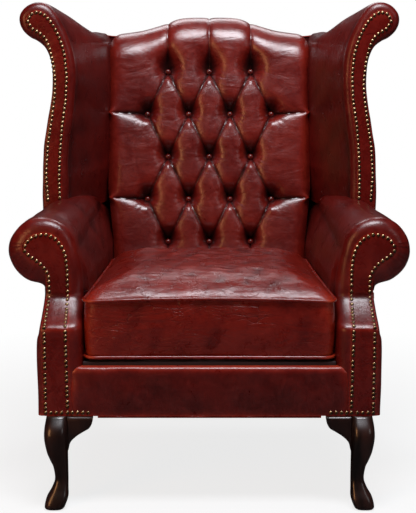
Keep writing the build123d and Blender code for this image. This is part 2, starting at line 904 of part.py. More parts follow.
with BuildPart() as inside_back:
    loft(back_sections, ruled=True)
    under_crest = extrude(
        across(far_y, crest_end, crest_curve + lines([(-back_half_width, 0), (back_half_width, 0)])),
        amount=overall_depth,
        mode=Mode.PRIVATE,
    )
    add(under_crest, mode=Mode.INTERSECT)
    for x, z in button_spots:
        pocket_plane = Plane(origin=(x, tuft_y(z), z), z_dir=(0, -1, 0))
        with Locations(pocket_plane):
            Cylinder(
                button_radius + fit_gap,
                2 * tuft_depth,
                align=(Align.CENTER, Align.CENTER, Align.MIN),
                mode=Mode.SUBTRACT,
            )
    add(frame_room.part, mode=Mode.SUBTRACT)
    add(behind_chair.part, mode=Mode.SUBTRACT)
    add(crest_rail.part, mode=Mode.SUBTRACT)
finish("inside_back", inside_back)


def domed_button(radius, dome, edge, shank_radius, shank_length):
    """Head with a spherical crown facing -Y and a shank behind it, turned about the Y axis."""
    rise = dome - edge
    sphere = (radius ** 2 + rise ** 2) / (2 * rise)
    half_angle = atan2(radius, sphere - rise) / 2
    crown = (sphere * sin(half_angle), sphere - dome - sphere * cos(half_angle))
    with BuildPart() as button:
        with BuildSketch(Plane.XY):
            with BuildLine():
                trace(
                    (0, shank_length),
                    [
                        ((shank_radius, shank_length),),
                        ((shank_radius, 0),),
                        ((radius, 0),),
                        ((radius, -edge),),
                        (crown, (0, -dome)),
                    ],
                )
            make_face()
        revolve(axis=Axis.Y)
    return button.part


button = domed_button(
    button_radius, button_dome + button_lift / 2, button_lift / 2, button_shank_radius, button_shank_length
)
with BuildPart() as back_buttons:
    with Locations([(x, tuft_y(z) - fit_gap, z) for x, z in button_spots]):
        add(button)
finish("back_buttons", back_buttons)

# Outside back: a flat leaning panel with the crest's outline, covering the ends of wings and arms
panel_ends = list(reversed(wing_panel_line(far_y)))
crown_ends = wing_line(wing_crown_shares, wing_crown_end_shares, far_y, False)
inner_ends = wing_line(wing_inner_shares, wing_inner_end_shares, far_y, True)
half_x = [share * back_half_width for share in crest_x_shares]
half_z = [crest_height - share * crest_drop for share in crest_fall_shares]
side_back_x = side_x(rear_y)
back_outline = lines([(side_back_x, leg_height), (side_back_x, arm_height - arm_roll_end_radius * 2)])
back_outline += lines(panel_ends)
back_outline += [
    (crown_ends[5],),
    (crown_ends[4], crown_ends[3]),
    (crown_ends[2], crown_ends[1]),
    (crown_ends[0], inner_ends[-1]),
    ((half_x[4], half_z[4]),),
    ((half_x[3], half_z[3]), (half_x[2], half_z[2])),
    ((half_x[1], half_z[1]), (half_x[0], half_z[0])),
    ((half_x[0] / 2, crest_height - crest_fall_shares[0] * crest_drop / 4), (0, crest_height)),
]
with BuildPart() as outside_back:
    profile = lean_band(facing_thickness, 0, leg_height, crest_height + overrun)
    extrude(sideways(0, *profile), amount=half_width)
    outline = extrude(
        across(far_y, (0, leg_height), back_outline), amount=overall_depth, mode=Mode.PRIVATE
    )
    add(outline, mode=Mode.INTERSECT)
    mirror(about=Plane.YZ)
finish("outside_back", outside_back)

# Front border: the stuffed strip between the arm fronts, below the seat
border_half = facing_inner_x - fit_gap
border_arc = border_corner * arc_share
border_steps = [
    ((border_half, leg_height),),
    ((border_half, border_top - border_corner),),
    ((border_half - border_arc, border_top - border_arc), (border_half - border_corner, border_top)),
    ((border_corner - border_half, border_top),),
    ((border_arc - border_half, border_top - border_arc), (-border_half, border_top - border_corner)),
]
with BuildPart() as front_border:
    extrude(across(front_rail_y - fit_gap, (-border_half, leg_height), border_steps), amount=border_thickness)
finish("front_border", front_border)

# Seat deck, springs and their clips
deck_front = [(seat_x(front_rail_y) - fit_gap, front_rail_y), (seat_x(crevice_y) - fit_gap, crevice_y)]
deck_back_y = back_rail_y + timber
deck_right = deck_front + [(deck_front[1][0], deck_back_y)]
deck_left = [(-x, y) for x, y in reversed(deck_right)]
with BuildPart() as seat_deck:
    extrude(
        level(rail_top + deck_clearance, deck_right[0], lines(deck_right[1:] + deck_left)),
        amount=deck_thickness,
    )
finish("seat_deck", seat_deck)

spring_z = rail_top + clip_plate + fit_gap + spring_wire / 2
spring_front_y = front_rail_y + timber / 2
spring_back_y = back_rail_y + timber / 2
spring_step = (spring_back_y - spring_front_y) / (spring_runs - 1)
spring_places = [(index - (spring_count - 1) / 2) * spring_spacing for index in range(spring_count)]


def sinuous_spring(x):
    """Zigzag wire: runs across, joined by half turns at alternate ends."""
    with BuildPart() as spring:
        with BuildLine(Plane.XY.offset(spring_z)) as path:
            side = -1
            y = spring_front_y
            for run in range(spring_runs):
                Line((x + side * spring_wave, y), (x - side * spring_wave, y))
                side = -side
                if run < spring_runs - 1:
                    ThreePointArc(
                        (x + side * spring_wave, y),
                        (x + side * (spring_wave + spring_step / 2), y + spring_step / 2),
                        (x + side * spring_wave, y + spring_step),
                    )
                y = y + spring_step
        with BuildSketch(Plane(origin=(x - spring_wave, spring_front_y, spring_z), z_dir=(1, 0, 0))):
            Circle(spring_wire / 2)
        sweep(path=path.line)
    return spring.part


with BuildPart() as seat_springs:
    first_spring = sinuous_spring(spring_places[0])
    for place in spring_places:
        add(Pos(place - spring_places[0], 0, 0) * first_spring)
finish("seat_springs", seat_springs)

clip_inside = spring_wire / 2 + fit_gap
clip_steps = lines([
    (clip_inside + clip_plate, 0),
    (clip_inside + clip_plate, 2 * clip_inside + 2 * clip_plate),
    (-clip_inside, 2 * clip_inside + 2 * clip_plate),
    (-clip_inside, 2 * clip_inside + clip_plate),
    (clip_inside, 2 * clip_inside + clip_plate),
    (clip_inside, clip_plate),
    (-clip_length / 2, clip_plate),
])
clip = extrude(sideways(-clip_width / 2, (-clip_length / 2, 0), clip_steps), amount=clip_width)
with BuildPart() as spring_clips:
    for place in spring_places:
        add(Pos(place, spring_front_y, rail_top) * mirror(clip, about=Plane.XZ, mode=Mode.PRIVATE))
        add(Pos(place, spring_back_y, rail_top) * clip)
finish("spring_clips", spring_clips)

with BuildPart() as back_webbing:
    for index in range(webbing_count):
        low_z = leg_height + webbing_rise + index * webbing_pitch
        profile = lean_band(
            post_front_offset + webbing_thickness, post_front_offset, low_z, low_z + webbing_width
        )
        extrude(sideways(-back_post_outer_x, *profile), amount=2 * back_post_outer_x)
finish("back_webbing", back_webbing)

# Front legs, with an ear block beside and behind each knee
leg_inner_x = side_x(front_y) - leg_inset
leg_front_y = -overall_depth / 2
# Each row: height, inner side, outer side, front and back, as shares of the leg's height, width and depth
front_leg_shares = [
    (0.0, 0.35, 0.88, 0.07, 0.40),
    (0.041, 0.12, 1.0, 0.0, 0.47),
    (0.123, 0.0, 0.92, 0.05, 0.55),
    (0.22, 0.0, 0.70, 0.16, 0.58),
    (0.32, 0.0, 0.57, 0.24, 0.60),
    (0.45, 0.0, 0.63, 0.22, 0.62),
    (0.53, 0.0, 0.76, 0.18, 0.64),
    (0.63, 0.0, 0.90, 0.13, 0.68),
    (0.77, 0.0, 1.0, 0.10, 0.80),
    (0.88, 0.0, 0.99, 0.16, 0.92),
    (1.0, 0.0, 0.91, 0.37, 1.0),
]


def leg_section(z, low_x, high_x, low_y, high_y):
    """Rounded rectangle at a height."""
    with BuildSketch(Plane.XY.offset(z)) as section:
        with Locations(((low_x + high_x) / 2, (low_y + high_y) / 2)):
            corner = leg_corner_share * min(high_x - low_x, high_y - low_y)
            RectangleRounded(high_x - low_x, high_y - low_y, corner)
    return section.sketch


bolt_low_z = leg_height - bolt_length * bolt_depth_share
with BuildPart() as right_front_leg:
    leg_sections = []
    for height, inner, outer, front, back in front_leg_shares:
        leg_sections.append(
            leg_section(
                height * leg_height,
                leg_inner_x + inner * front_leg_width,
                leg_inner_x + outer * front_leg_width,
                leg_front_y + front * front_leg_depth,
                leg_front_y + back * front_leg_depth,
            )
        )
    loft(leg_sections)
    with Locations((bolt_x, bolt_y, bolt_low_z - fit_gap)):
        Cylinder(
            bolt_radius + bolt_clearance,
            bolt_length,
            align=(Align.CENTER, Align.CENTER, Align.MIN),
            mode=Mode.SUBTRACT,
        )
finish("right_front_leg", right_front_leg)

with BuildPart() as left_front_leg:
    mirror(right_front_leg.part, about=Plane.YZ)
finish("left_front_leg", left_front_leg)

ear_shares = [(0.0, 1.0), (0.12, 0.85), (0.32, 0.62), (0.6, 0.43), (0.86, 0.25), (1.0, 0.0)]
front_ear_y = leg_front_y + front_leg_depth * front_leg_shares[-1][3] + fit_gap
leg_back_y = leg_front_y + front_leg_depth
side_ear_x = leg_inner_x + front_leg_width * front_leg_shares[-1][2] - ear_thickness


def ear_points(toward, away):
    """Ear outline from the knee outwards, along one level direction and down."""
    points = [(toward, leg_height)]
    for across_share, down_share in ear_shares:
        reach = fit_gap + across_share * ear_width
        points.append((toward + away * reach, leg_height - down_share * ear_drop))
    return points[1:] + [(toward + away * fit_gap, leg_height)]


front_ear = ear_points(leg_inner_x, -1)
side_ear = ear_points(leg_back_y, 1)
with BuildPart() as knee_blocks:
    extrude(across(front_ear_y + ear_thickness, front_ear[0], lines(front_ear[1:])), amount=ear_thickness)
    extrude(sideways(side_ear_x, side_ear[0], lines(side_ear[1:])), amount=ear_thickness)
    mirror(about=Plane.YZ)
finish("knee_blocks", knee_blocks)

# Back legs: square and raked, swept back to the heel
back_leg_shares = [(0.0, 1.0), (0.25, 0.72), (0.5, 0.40), (0.75, 0.13), (1.0, 0.0)]
back_leg_top_y = rear(leg_height) - facing_thickness - post_depth / 2
back_leg_heel_y = overall_depth / 2 - back_leg_foot / 2
with BuildPart() as right_back_leg:
    leg_sections = []
    for height, sweep_share in back_leg_shares:
        size = between(back_leg_foot, back_leg_top, height)
        y = between(back_leg_top_y, back_leg_heel_y, sweep_share)
        low_x = back_bolt_x - size / 2
        leg_sections.append(leg_section(height * leg_height, low_x, low_x + size, y - size / 2, y + size / 2))
    loft(leg_sections)
    with Locations((back_bolt_x, back_bolt_y, bolt_low_z - fit_gap)):
        Cylinder(
            bolt_radius + bolt_clearance,
            bolt_length,
            align=(Align.CENTER, Align.CENTER, Align.MIN),
            mode=Mode.SUBTRACT,
        )
finish("right_back_leg", right_back_leg)

with BuildPart() as left_back_leg:
    mirror(right_back_leg.part, about=Plane.YZ)
finish("left_back_leg", left_back_leg)

with BuildPart() as leg_bolts:
    for x, y in ((bolt_x, bolt_y), (back_bolt_x, back_bolt_y)):
        with Locations((x, y, bolt_low_z), (-x, y, bolt_low_z)):
            Cylinder(bolt_radius, bolt_length, align=(Align.CENTER, Align.CENTER, Align.MIN))
finish("leg_bolts", leg_bolts)

# Dust cover under the seat and the welt along the lower edge
cover_front_y = front_ear_y + ear_thickness + fit_gap
cover_step_y = leg_back_y + fit_gap
cover_right = [
    (leg_inner_x - 2 * fit_gap, cover_front_y),
    (leg_inner_x - 2 * fit_gap, cover_step_y),
    (side_rail_outer_front - timber + cover_overlap, cover_step_y),
    (side_rail_outer_back - timber + cover_overlap, side_rail_end_y - cover_overlap),
    (back_post_x - cover_overlap, side_rail_end_y - cover_overlap),
    (back_post_x - cover_overlap, back_rail_y + timber / 2),
]
cover_left = [(-x, y) for x, y in reversed(cover_right)]
with BuildPart() as dust_cover:
    extrude(
        level(leg_height - cover_thickness, cover_right[0], lines(cover_right[1:] + cover_left)),
        amount=cover_thickness,
    )
finish("dust_cover", dust_cover)

welt_half = leg_inner_x - ear_width - 2 * fit_gap
welt_front_y = leg_back_y + ear_width + 2 * fit_gap
welt_back_y = back_leg_top_y - back_leg_top
with BuildPart() as base_welt:
    add(block((-welt_half, front_y, leg_height - welt_size), (welt_half, front_y + welt_size, leg_height)))
    side_welt = [
        (side_x(welt_front_y) + panel_in_shares[-1] * panel_bow, welt_front_y),
        (side_x(welt_back_y) + panel_in_shares[-1] * panel_bow, welt_back_y),
    ]
    side_welt += [(x - leather, y) for x, y in reversed(side_welt)]
    extrude(level(leg_height - welt_size, side_welt[0], lines(side_welt[1:])), amount=welt_size)
    mirror(about=Plane.YZ)
finish("base_welt", base_welt)

# Nails: rows of domed heads with short shanks through the facings
def circle_center(a, b, c):
    """Centre of the circle through three points."""
    turn = 2 * (a[0] * (b[1] - c[1]) + b[0] * (c[1] - a[1]) + c[0] * (a[1] - b[1]))
    squares = [point[0] ** 2 + point[1] ** 2 for point in (a, b, c)]
    y = (squares[0] * (b[1] - c[1]) + squares[1] * (c[1] - a[1]) + squares[2] * (a[1] - b[1])) / turn
    z = (squares[0] * (c[0] - b[0]) + squares[1] * (a[0] - c[0]) + squares[2] * (b[0] - a[0])) / turn
    return y, z


slope_center = circle_center(facing_top, facing_middle, facing_low)
slope_radius = hypot(facing_top[0] - slope_center[0], facing_top[1] - slope_center[1])


def arm_face(z):
    """Depth and backward tilt of the arm front at a height."""
    if z >= arm_slope_top_z:
        return scroll_y, 0
    if z <= arm_corner_z:
        return front_y, 0
    rise = z - slope_center[1]
    run = sqrt(slope_radius ** 2 - rise ** 2)
    return slope_center[0] + run, degrees(atan2(-rise, run))


def wing_front(z):
    """Depth and tilt of the wing front."""
    return wing_y, 0


track_steps = 40


def spaced(points, face, pitch):
    """Places at an even pitch along a line of points on a front face."""
    track = []
    for (x0, z0), (x1, z1) in zip(points, points[1:]):
        for step in range(track_steps):
            share = step / track_steps
            x, z = between(x0, x1, share), between(z0, z1, share)
            track.append((x, face(z)[0], z))
    x, z = points[-1]
    track.append((x, face(z)[0], z))
    lengths = [0]
    for a, b in zip(track, track[1:]):
        lengths.append(lengths[-1] + hypot(b[0] - a[0], b[1] - a[1], b[2] - a[2]))
    count = max(1, floor(lengths[-1] / pitch + 0.5))
    places = []
    cursor = 0
    for index in range(count + 1):
        target = lengths[-1] * index / count
        while cursor < len(lengths) - 2 and lengths[cursor + 1] < target:
            cursor = cursor + 1
        x, y, z = track[cursor] if index < count else track[-1]
        places.append((x, face(z)[0], z))
    return places


nail = domed_button(nail_radius, nail_dome, nail_dome / 4, nail_shank_radius, nail_shank_length)


def nail_row(places, face):
    """Copies of the nail at each place, leaning with the face."""
    placed = []
    for x, y, z in places:
        tilt = face(z)[1]
        placed.append(Location((x, y, z), (-tilt, 0, 0)))
    return placed


nail_head_points = []
for x, z in head[1:-1]:
    shrink = 1 - nail_edge / hypot(x - scroll_x, z - scroll_z)
    nail_head_points.append((between(scroll_x, x, shrink), between(scroll_z, z, shrink)))
arm_nail_points = [
    (facing_outer_x - nail_edge, leg_height + base_nail_height),
    (facing_outer_x - nail_edge, arm_corner_z),
    (head[0][0] - nail_edge, arm_slope_top_z),
    (head[0][0] - nail_edge, head[0][1]),
] + nail_head_points + [
    (head[-1][0] + nail_edge, head[-1][1]),
    (facing_waist_x + nail_edge, arm_corner_z),
    (facing_inner_x + nail_edge, leg_height + base_nail_height),
]
arm_nail_places = spaced(arm_nail_points, arm_face, nail_pitch)
base_nail_x = facing_outer_x - nail_edge
for index in range(1, base_facing_nail_count - 1):
    arm_nail_places.append((base_nail_x - index * base_nail_pitch, front_y, leg_height + base_nail_height))
with BuildPart() as right_arm_nails:
    with Locations(nail_row(arm_nail_places, arm_face)):
        add(nail)
finish("right_arm_nails", right_arm_nails)

with BuildPart() as left_arm_nails:
    mirror(right_arm_nails.part, about=Plane.YZ)
finish("left_arm_nails", left_arm_nails)

border_front_y = front_rail_y - fit_gap - border_thickness
border_nail_places = []
for index in range(base_facing_nail_count, base_nail_count):
    x = base_nail_x - index * base_nail_pitch
    for side in (-1, 1):
        border_nail_places.append((side * x, border_front_y, leg_height + base_nail_height))
with BuildPart() as border_nails:
    with Locations(border_nail_places):
        add(nail)
finish("border_nails", border_nails)

wing_nail_shares = [
    (0.854, 0.0), (0.861, 0.13), (0.849, 0.28), (0.826, 0.41), (0.807, 0.54), (0.805, 0.61), (0.813, 0.69),
    (0.83, 0.77), (0.852, 0.82), (0.88, 0.845), (0.92, 0.868), (0.941, 0.905), (0.922, 0.94), (0.885, 0.95),
    (0.854, 0.935), (0.824, 0.905), (0.8, 0.868), (0.781, 0.827), (0.765, 0.784), (0.753, 0.735),
    (0.744, 0.63), (0.751, 0.51), (0.772, 0.38), (0.786, 0.24), (0.793, 0.105), (0.791, 0.01),
]
wing_nail_points = [wing_face(share) for share in wing_nail_shares]
with BuildPart() as right_wing_nails:
    with Locations(nail_row(spaced(wing_nail_points, wing_front, wing_nail_pitch), wing_front)):
        add(nail)
finish("right_wing_nails", right_wing_nails)

with BuildPart() as left_wing_nails:
    mirror(right_wing_nails.part, about=Plane.YZ)
finish("left_wing_nails", left_wing_nails)

# Cushion: a tapered crowned case with piped seams, drawn-in sides, and a zip at the back
seam_inset = cushion_gap + 2 * piping_radius + fit_gap
cushion_front_y = front_y + cushion_setback + 2 * piping_radius + fit_gap
cushion_back_y = crevice_y - cushion_back_gap - 2 * piping_radius + fit_gap


def cushion_outline(inset):
    """Corner by corner outline of the cushion in plan, drawn in along each side."""
    front = cushion_front_y + inset
    back = cushion_back_y - inset
    front_x = seat_x(cushion_front_y) - seam_inset - inset
    back_x = seat_x(cushion_back_y) - seam_inset - inset
    slant = (front_x - back_x) / (back - front)
    front_corner = max(cushion_front_corner - inset / 2, cushion_back_corner / 2)
    back_corner = max(cushion_back_corner - inset / 2, cushion_back_corner / 2)
    right_front = (front_x - slant * front_corner, front + front_corner)
    right_back = (back_x + slant * back_corner, back - back_corner)
    side_middle = ((right_front[0] + right_back[0]) / 2 - cushion_draw, (right_front[1] + right_back[1]) / 2)
    back_start = (back_x - back_corner, back)
    start = (front_x - front_corner, front)
    steps = [
        ((front_x - arc_share * front_corner, front + arc_share * front_corner), right_front),
        (side_middle, right_back),
        ((back_x - arc_share * back_corner, back - arc_share * back_corner), back_start),
        ((0, back - cushion_draw), (-back_start[0], back)),
        ((arc_share * back_corner - back_x, back - arc_share * back_corner), (-right_back[0], right_back[1])),
        ((-side_middle[0], side_middle[1]), (-right_front[0], right_front[1])),
        ((arc_share * front_corner - front_x, front + arc_share * front_corner), (-start[0], front)),
        ((0, front + cushion_draw), start),
    ]
    return start, steps


cushion_bottom = deck_top + fit_gap
low_seam_z = cushion_bottom + cushion_seam_drop
high_seam_z = cushion_bottom + cushion_height
crown_shares = [(0.3, 0.07), (0.6, 0.2), (0.85, 0.42), (1.0, 0.72)]
crown_reach_share = 0.475
crown_reach = crown_reach_share * seat_depth


def cushion_levels(skin):
    """Heights and insets of the cushion's sections, for a case drawn in by a skin thickness."""
    rows = [
        (cushion_bottom + skin, cushion_bottom_tuck + skin),
        (low_seam_z, skin),
        (high_seam_z, skin),
    ]
    for rise_share, inset_share in crown_shares:
        rows.append((high_seam_z + rise_share * cushion_crown - skin, inset_share * crown_reach + skin))
    return rows


def cushion_form(skin):
    """Closed form of the cushion, drawn in by a skin thickness."""
    sections = [level(z, *cushion_outline(inset)) for z, inset in cushion_levels(skin)]
    return loft(sections, ruled=True)


cushion_case = cushion_form(0)
cushion_inside = cushion_form(cushion_leather)
zip_z = (low_seam_z + high_seam_z) / 2
zip_face_y = cushion_back_y - cushion_draw - cushion_leather
zip_pocket = block(
    (-zip_length / 2, zip_face_y, zip_z - zip_width / 2),
    (zip_length / 2, cushion_back_y + cushion_draw, zip_z + zip_width / 2),
)
reach = overall_width
above = block((-reach, -reach, high_seam_z), (reach, reach, high_seam_z + reach))
middle = block((-reach, -reach, low_seam_z), (reach, reach, high_seam_z))
below = block((-reach, -reach, low_seam_z - reach), (reach, reach, low_seam_z))

with BuildPart() as cushion_core:
    add(cushion_form(cushion_leather + fit_gap))
    add(zip_pocket, mode=Mode.SUBTRACT)
finish("cushion_core", cushion_core)

with BuildPart() as cushion_top_panel:
    add(cushion_case)
    add(cushion_inside, mode=Mode.SUBTRACT)
    add(above, mode=Mode.INTERSECT)
finish("cushion_top_panel", cushion_top_panel)

with BuildPart() as cushion_border:
    add(cushion_case)
    add(cushion_inside, mode=Mode.SUBTRACT)
    add(middle, mode=Mode.INTERSECT)
    add(zip_pocket, mode=Mode.SUBTRACT)
finish("cushion_border", cushion_border)

with BuildPart() as cushion_bottom_panel:
    add(cushion_case)
    add(cushion_inside, mode=Mode.SUBTRACT)
    add(below, mode=Mode.INTERSECT)
finish("cushion_bottom_panel", cushion_bottom_panel)


def piping_ring(z):
    """Round piping laid round the cushion, just outside the seam: straight runs and rounded corners."""
    outside = piping_radius + 2 * fit_gap
    front_x = seat_x(cushion_front_y) - seam_inset + outside
    back_x = seat_x(cushion_back_y) - seam_inset + outside
    front = cushion_front_y - outside
    back = cushion_back_y + outside
    corners = [(front_x, front), (back_x, back), (-back_x, back), (-front_x, front)]
    radii = [cushion_front_corner, cushion_back_corner, cushion_back_corner, cushion_front_corner]
    with BuildPart() as ring:
        with BuildSketch(Plane(origin=(0, front, z), z_dir=(1, 0, 0))):
            Circle(piping_radius)
        with BuildLine(Plane.XY.offset(z)) as path:
            FilletPolyline(*corners, radius=radii, close=True)
        sweep(path=path.line)
    return ring.part


with BuildPart() as top_piping:
    add(piping_ring(high_seam_z))
finish("top_piping", top_piping)

with BuildPart() as bottom_piping:
    add(piping_ring(low_seam_z))
finish("bottom_piping", bottom_piping)

with BuildPart() as zip_tape:
    add(
        block(
            (-zip_length / 2, zip_face_y, zip_z - zip_width / 2),
            (zip_length / 2, zip_face_y + zip_tape_thickness, zip_z + zip_width / 2),
        )
    )
finish("zip_tape", zip_tape)

slider_y = zip_face_y + zip_tape_thickness + fit_gap
slider_x = slider_length - zip_length / 2
pull_y = slider_y + slider_thickness
with BuildPart() as zip_slider:
    add(
        block(
            (slider_x - slider_length / 2, slider_y, zip_z - slider_width / 2),
            (slider_x + slider_length / 2, pull_y, zip_z + slider_width / 2),
        )
    )
    add(
        block(
            (slider_x - slider_width / 4, pull_y, zip_z - pull_length),
            (slider_x + slider_width / 4, pull_y + pull_thickness, zip_z + slider_width / 4),
        )
    )
finish("zip_slider", zip_slider)

print(len(os.listdir("parts")), "pieces written")
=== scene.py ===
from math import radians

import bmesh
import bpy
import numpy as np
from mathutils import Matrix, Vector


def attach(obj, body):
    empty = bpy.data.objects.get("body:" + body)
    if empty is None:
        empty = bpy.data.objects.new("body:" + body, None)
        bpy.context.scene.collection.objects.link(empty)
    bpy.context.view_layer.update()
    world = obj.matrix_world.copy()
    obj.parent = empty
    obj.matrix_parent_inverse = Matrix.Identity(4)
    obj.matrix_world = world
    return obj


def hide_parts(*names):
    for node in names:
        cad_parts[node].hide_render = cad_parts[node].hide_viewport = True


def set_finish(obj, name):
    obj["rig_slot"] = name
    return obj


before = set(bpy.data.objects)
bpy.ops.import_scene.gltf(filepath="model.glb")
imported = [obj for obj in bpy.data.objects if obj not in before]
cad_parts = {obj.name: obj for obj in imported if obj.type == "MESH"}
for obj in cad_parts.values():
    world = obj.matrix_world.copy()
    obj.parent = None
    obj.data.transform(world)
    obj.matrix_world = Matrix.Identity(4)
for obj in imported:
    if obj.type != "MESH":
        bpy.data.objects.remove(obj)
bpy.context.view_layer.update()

# %% [markdown]
# # Queen Anne wing chair in oxblood leather
# The solids are already loaded: timber, springs, nails, legs and plain stuffing shapes, in metres, with
# the front towards -Y and the floor at zero. This lesson dresses them. Every leather surface is worked
# out as a grid of points with numpy, given a thickness, and put in place of the plain stuffing.

# %% [markdown]
# ## Sizes
# The shapes below are written in millimetres, as an upholsterer would measure them, and become metres
# when a mesh is made. The sizes shared with the solids are the depths of the front, the scroll, the wing
# and the rear face, the heights of the base, the deck and the arms, the scroll's middle, the rows and the
# pitch of the buttons, the tapers of the base and the seat, and the rake of the button plane. The two
# gaps set the leather off the rear face and off the facings.

# %% Sizes shared with the solids
MILLIMETRE = 0.001
FRONT, SCROLL, WING, WING_FULL, WING_END = -370.0, -298.0, -40.0, -17.7, 200.0
BASE, DECK, ARM_TOP = 195.0, 307.3, 600.0
ROWS = 863.0 - 99.0 * np.arange(5)
PITCH = 98.0
SCROLL_X, SCROLL_Z, SCROLL_RADIUS = 352.0, 527.0, 73.0
REAR_GAP, FACING_GAP = 7, 1.4
SIDES = (("right", 1), ("left", -1))


def side(y):
    """Outer side of the base at a depth: 360 at the front, narrowing evenly to 300 at the rear."""
    return 360 - 60 * (y - FRONT) / 675


def seat_side(y):
    """Inner face of the arm at a depth: 266 at the front, 228 from the back cushion on."""
    return 266 - 38 * np.clip((y - FRONT) / 480, 0, 1)


def rear(z):
    """Depth of the rear face at a height, along the straight lean of the back."""
    return 305 + 47 * (z - BASE) / 793


def button_plane(z):
    """Depth of the button plane at a height: it leans back 20 for every 99 upwards."""
    return 235 - (863 - z) * 20 / 99


def roll(y):
    """Middle and radius of the arm roll at a depth: a cone from 73 at the scroll to 35 at the rear."""
    share = np.clip((y + 275.7) / 580.7, 0, 1)
    radius = SCROLL_RADIUS - 38 * share
    return SCROLL_X - 69 * share, ARM_TOP - radius, radius


# %% [markdown]
# ## Grids into meshes
# A sheet of leather is a grid of points. Its wall comes from moving a copy of the grid inwards along the
# normals, and strips join the rims, so each piece is one closed skin. Normals are the cross product of the
# grid's two steps. A number kept on every point says how proud it stands of the points around it, so that
# the finish can rub ridges lighter, as worn leather is, and darken folds, partly as the dyeing left there
# and partly as painted shade.

# %% Grid helpers
def flow(points, t):
    """Smooth curve at parameters t, counted in points: between two points a cubic whose end slopes are
    half the step between their neighbours."""
    p = np.asarray(points, float)
    p = np.vstack([2 * p[0] - p[1], p, 2 * p[-1] - p[-2]])
    i = np.clip(np.floor(t).astype(int), 0, len(points) - 2)
    f = (t - i)[:, None]
    a, b, c, d = p[i], p[i + 1], p[i + 2], p[i + 3]
    return b + 0.5 * f * (c - a + f * (2 * a - 5 * b + 4 * c - d + f * (3 * (b - c) + d - a)))


def even(points, count):
    """Parameters that space a number of samples evenly along the smooth curve through points."""
    t = np.linspace(0, len(points) - 1, 80 * len(points))
    run = np.linalg.norm(np.diff(flow(points, t), axis=0), axis=1)
    return np.interp(np.linspace(0, run.sum(), count), np.concatenate([[0], np.cumsum(run)]), t)


def xyz(x, y, z):
    """Grid of points from its three coordinates, each spread over the whole grid."""
    return np.stack(np.broadcast_arrays(x, y, z), axis=-1)


def circle(around):
    """Angles once round, as a row."""
    return np.linspace(0, 2 * np.pi, around, endpoint=False)[None, :]


def grid_quads(rows, columns, ring=False):
    """Quads between each row and the next, and round each row where it is a ring."""
    row = np.arange(rows - 1)[:, None] * columns
    here = np.arange(columns if ring else columns - 1)[None, :]
    after = (here + 1) % columns
    corners = [row + here, row + after, row + columns + after, row + columns + here]
    return np.stack(corners, axis=-1).reshape(-1, 4)


def normals(grid, inside):
    """Unit normals of a grid: cross products of its steps, turned away from a point inside."""
    n = np.cross(np.gradient(grid, axis=0), np.gradient(grid, axis=1))
    n = n / np.maximum(np.linalg.norm(n, axis=-1, keepdims=True), 1e-9)
    away = np.sum(n * (grid - np.asarray(inside, float)))
    return n if away > 0 else -n


def ripple(p, wave, seed, count=7):
    """Gentle unevenness: the average of a few sine waves with set directions and shifts."""
    pick = np.random.default_rng(seed)
    total = 0
    for direction in pick.normal(size=(count, 3)):
        length = wave * pick.uniform(0.6, 1.6)
        total = total + np.sin(p @ (direction / np.linalg.norm(direction)) * 2 * np.pi / length
                               + pick.uniform(0, 6.28))
    return total / np.sqrt(count)


def uneven(grid, size, wave, seed):
    """The grid moved back and forth by a gentle unevenness."""
    return grid + size * ripple(grid, wave, seed)[..., None] * np.array([0, 1, 0])


def note_wear_and_shade(mesh, rounds, full, ridge):
    """Store how proud each point stands: its distance outwards from where rounds of averaging with its
    neighbours would carry it, as a share of a full distance, around one half. Ridges count for less than
    folds. Low numbers in folds are painted dark by the leather, as shade there as well as dyed colour."""
    count = len(mesh.vertices)
    place = np.empty(count * 3)
    out = np.empty(count * 3)
    ends = np.empty(len(mesh.edges) * 2, dtype=np.int32)
    mesh.vertices.foreach_get("co", place)
    mesh.vertices.foreach_get("normal", out)
    mesh.edges.foreach_get("vertices", ends)
    place, out, ends = place.reshape(-1, 3), out.reshape(-1, 3), ends.reshape(-1, 2)
    shares = np.maximum(np.bincount(ends.ravel(), minlength=count), 1)[:, None]
    calm = place.copy()
    for _ in range(rounds):
        total = np.stack([
            np.bincount(ends[:, 0], calm[ends[:, 1], k], count)
            + np.bincount(ends[:, 1], calm[ends[:, 0], k], count) for k in range(3)
        ], axis=1)
        calm = 0.4 * calm + 0.6 * total / shares
    proud = np.sum((place - calm) * out, axis=1) / MILLIMETRE / full
    proud = np.where(proud > 0, proud * ridge, proud)
    wear = mesh.attributes.new("wear", "FLOAT", "POINT")
    wear.data.foreach_set("value", np.clip(0.5 + proud, 0, 1).astype(np.float32))


def put(name, data):
    """Object with its data, linked into the scene."""
    thing = bpy.data.objects.new(name, data)
    bpy.context.scene.collection.objects.link(thing)
    return thing


def make(name, points, faces, finish, body, nodes=(), slot="oxblood_leather", crisp=55, rounds=14,
         full=5.0, ridge=0.35):
    """Closed mesh from points in millimetres: doubled points merged, faces turned outwards, smooth
    except at crisp edges, riding on a body and standing for the named solids."""
    mesh = bpy.data.meshes.new(name)
    places = np.asarray(points).reshape(-1, 3) * MILLIMETRE
    mesh.from_pydata(places.tolist(), [], [list(f) for f in faces])
    work = bmesh.new()
    work.from_mesh(mesh)
    bmesh.ops.remove_doubles(work, verts=work.verts, dist=2e-5)
    bmesh.ops.recalc_face_normals(work, faces=work.faces)
    work.to_mesh(mesh)
    work.free()
    mesh.polygons.foreach_set("use_smooth", [True] * len(mesh.polygons))
    mesh.set_sharp_from_angle(angle=radians(crisp))
    note_wear_and_shade(mesh, rounds, full, ridge)
    mesh.materials.append(finish)
    piece = put(name, mesh)
    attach(piece, body)
    if nodes:
        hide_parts(*nodes)
    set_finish(piece, slot)
    return piece


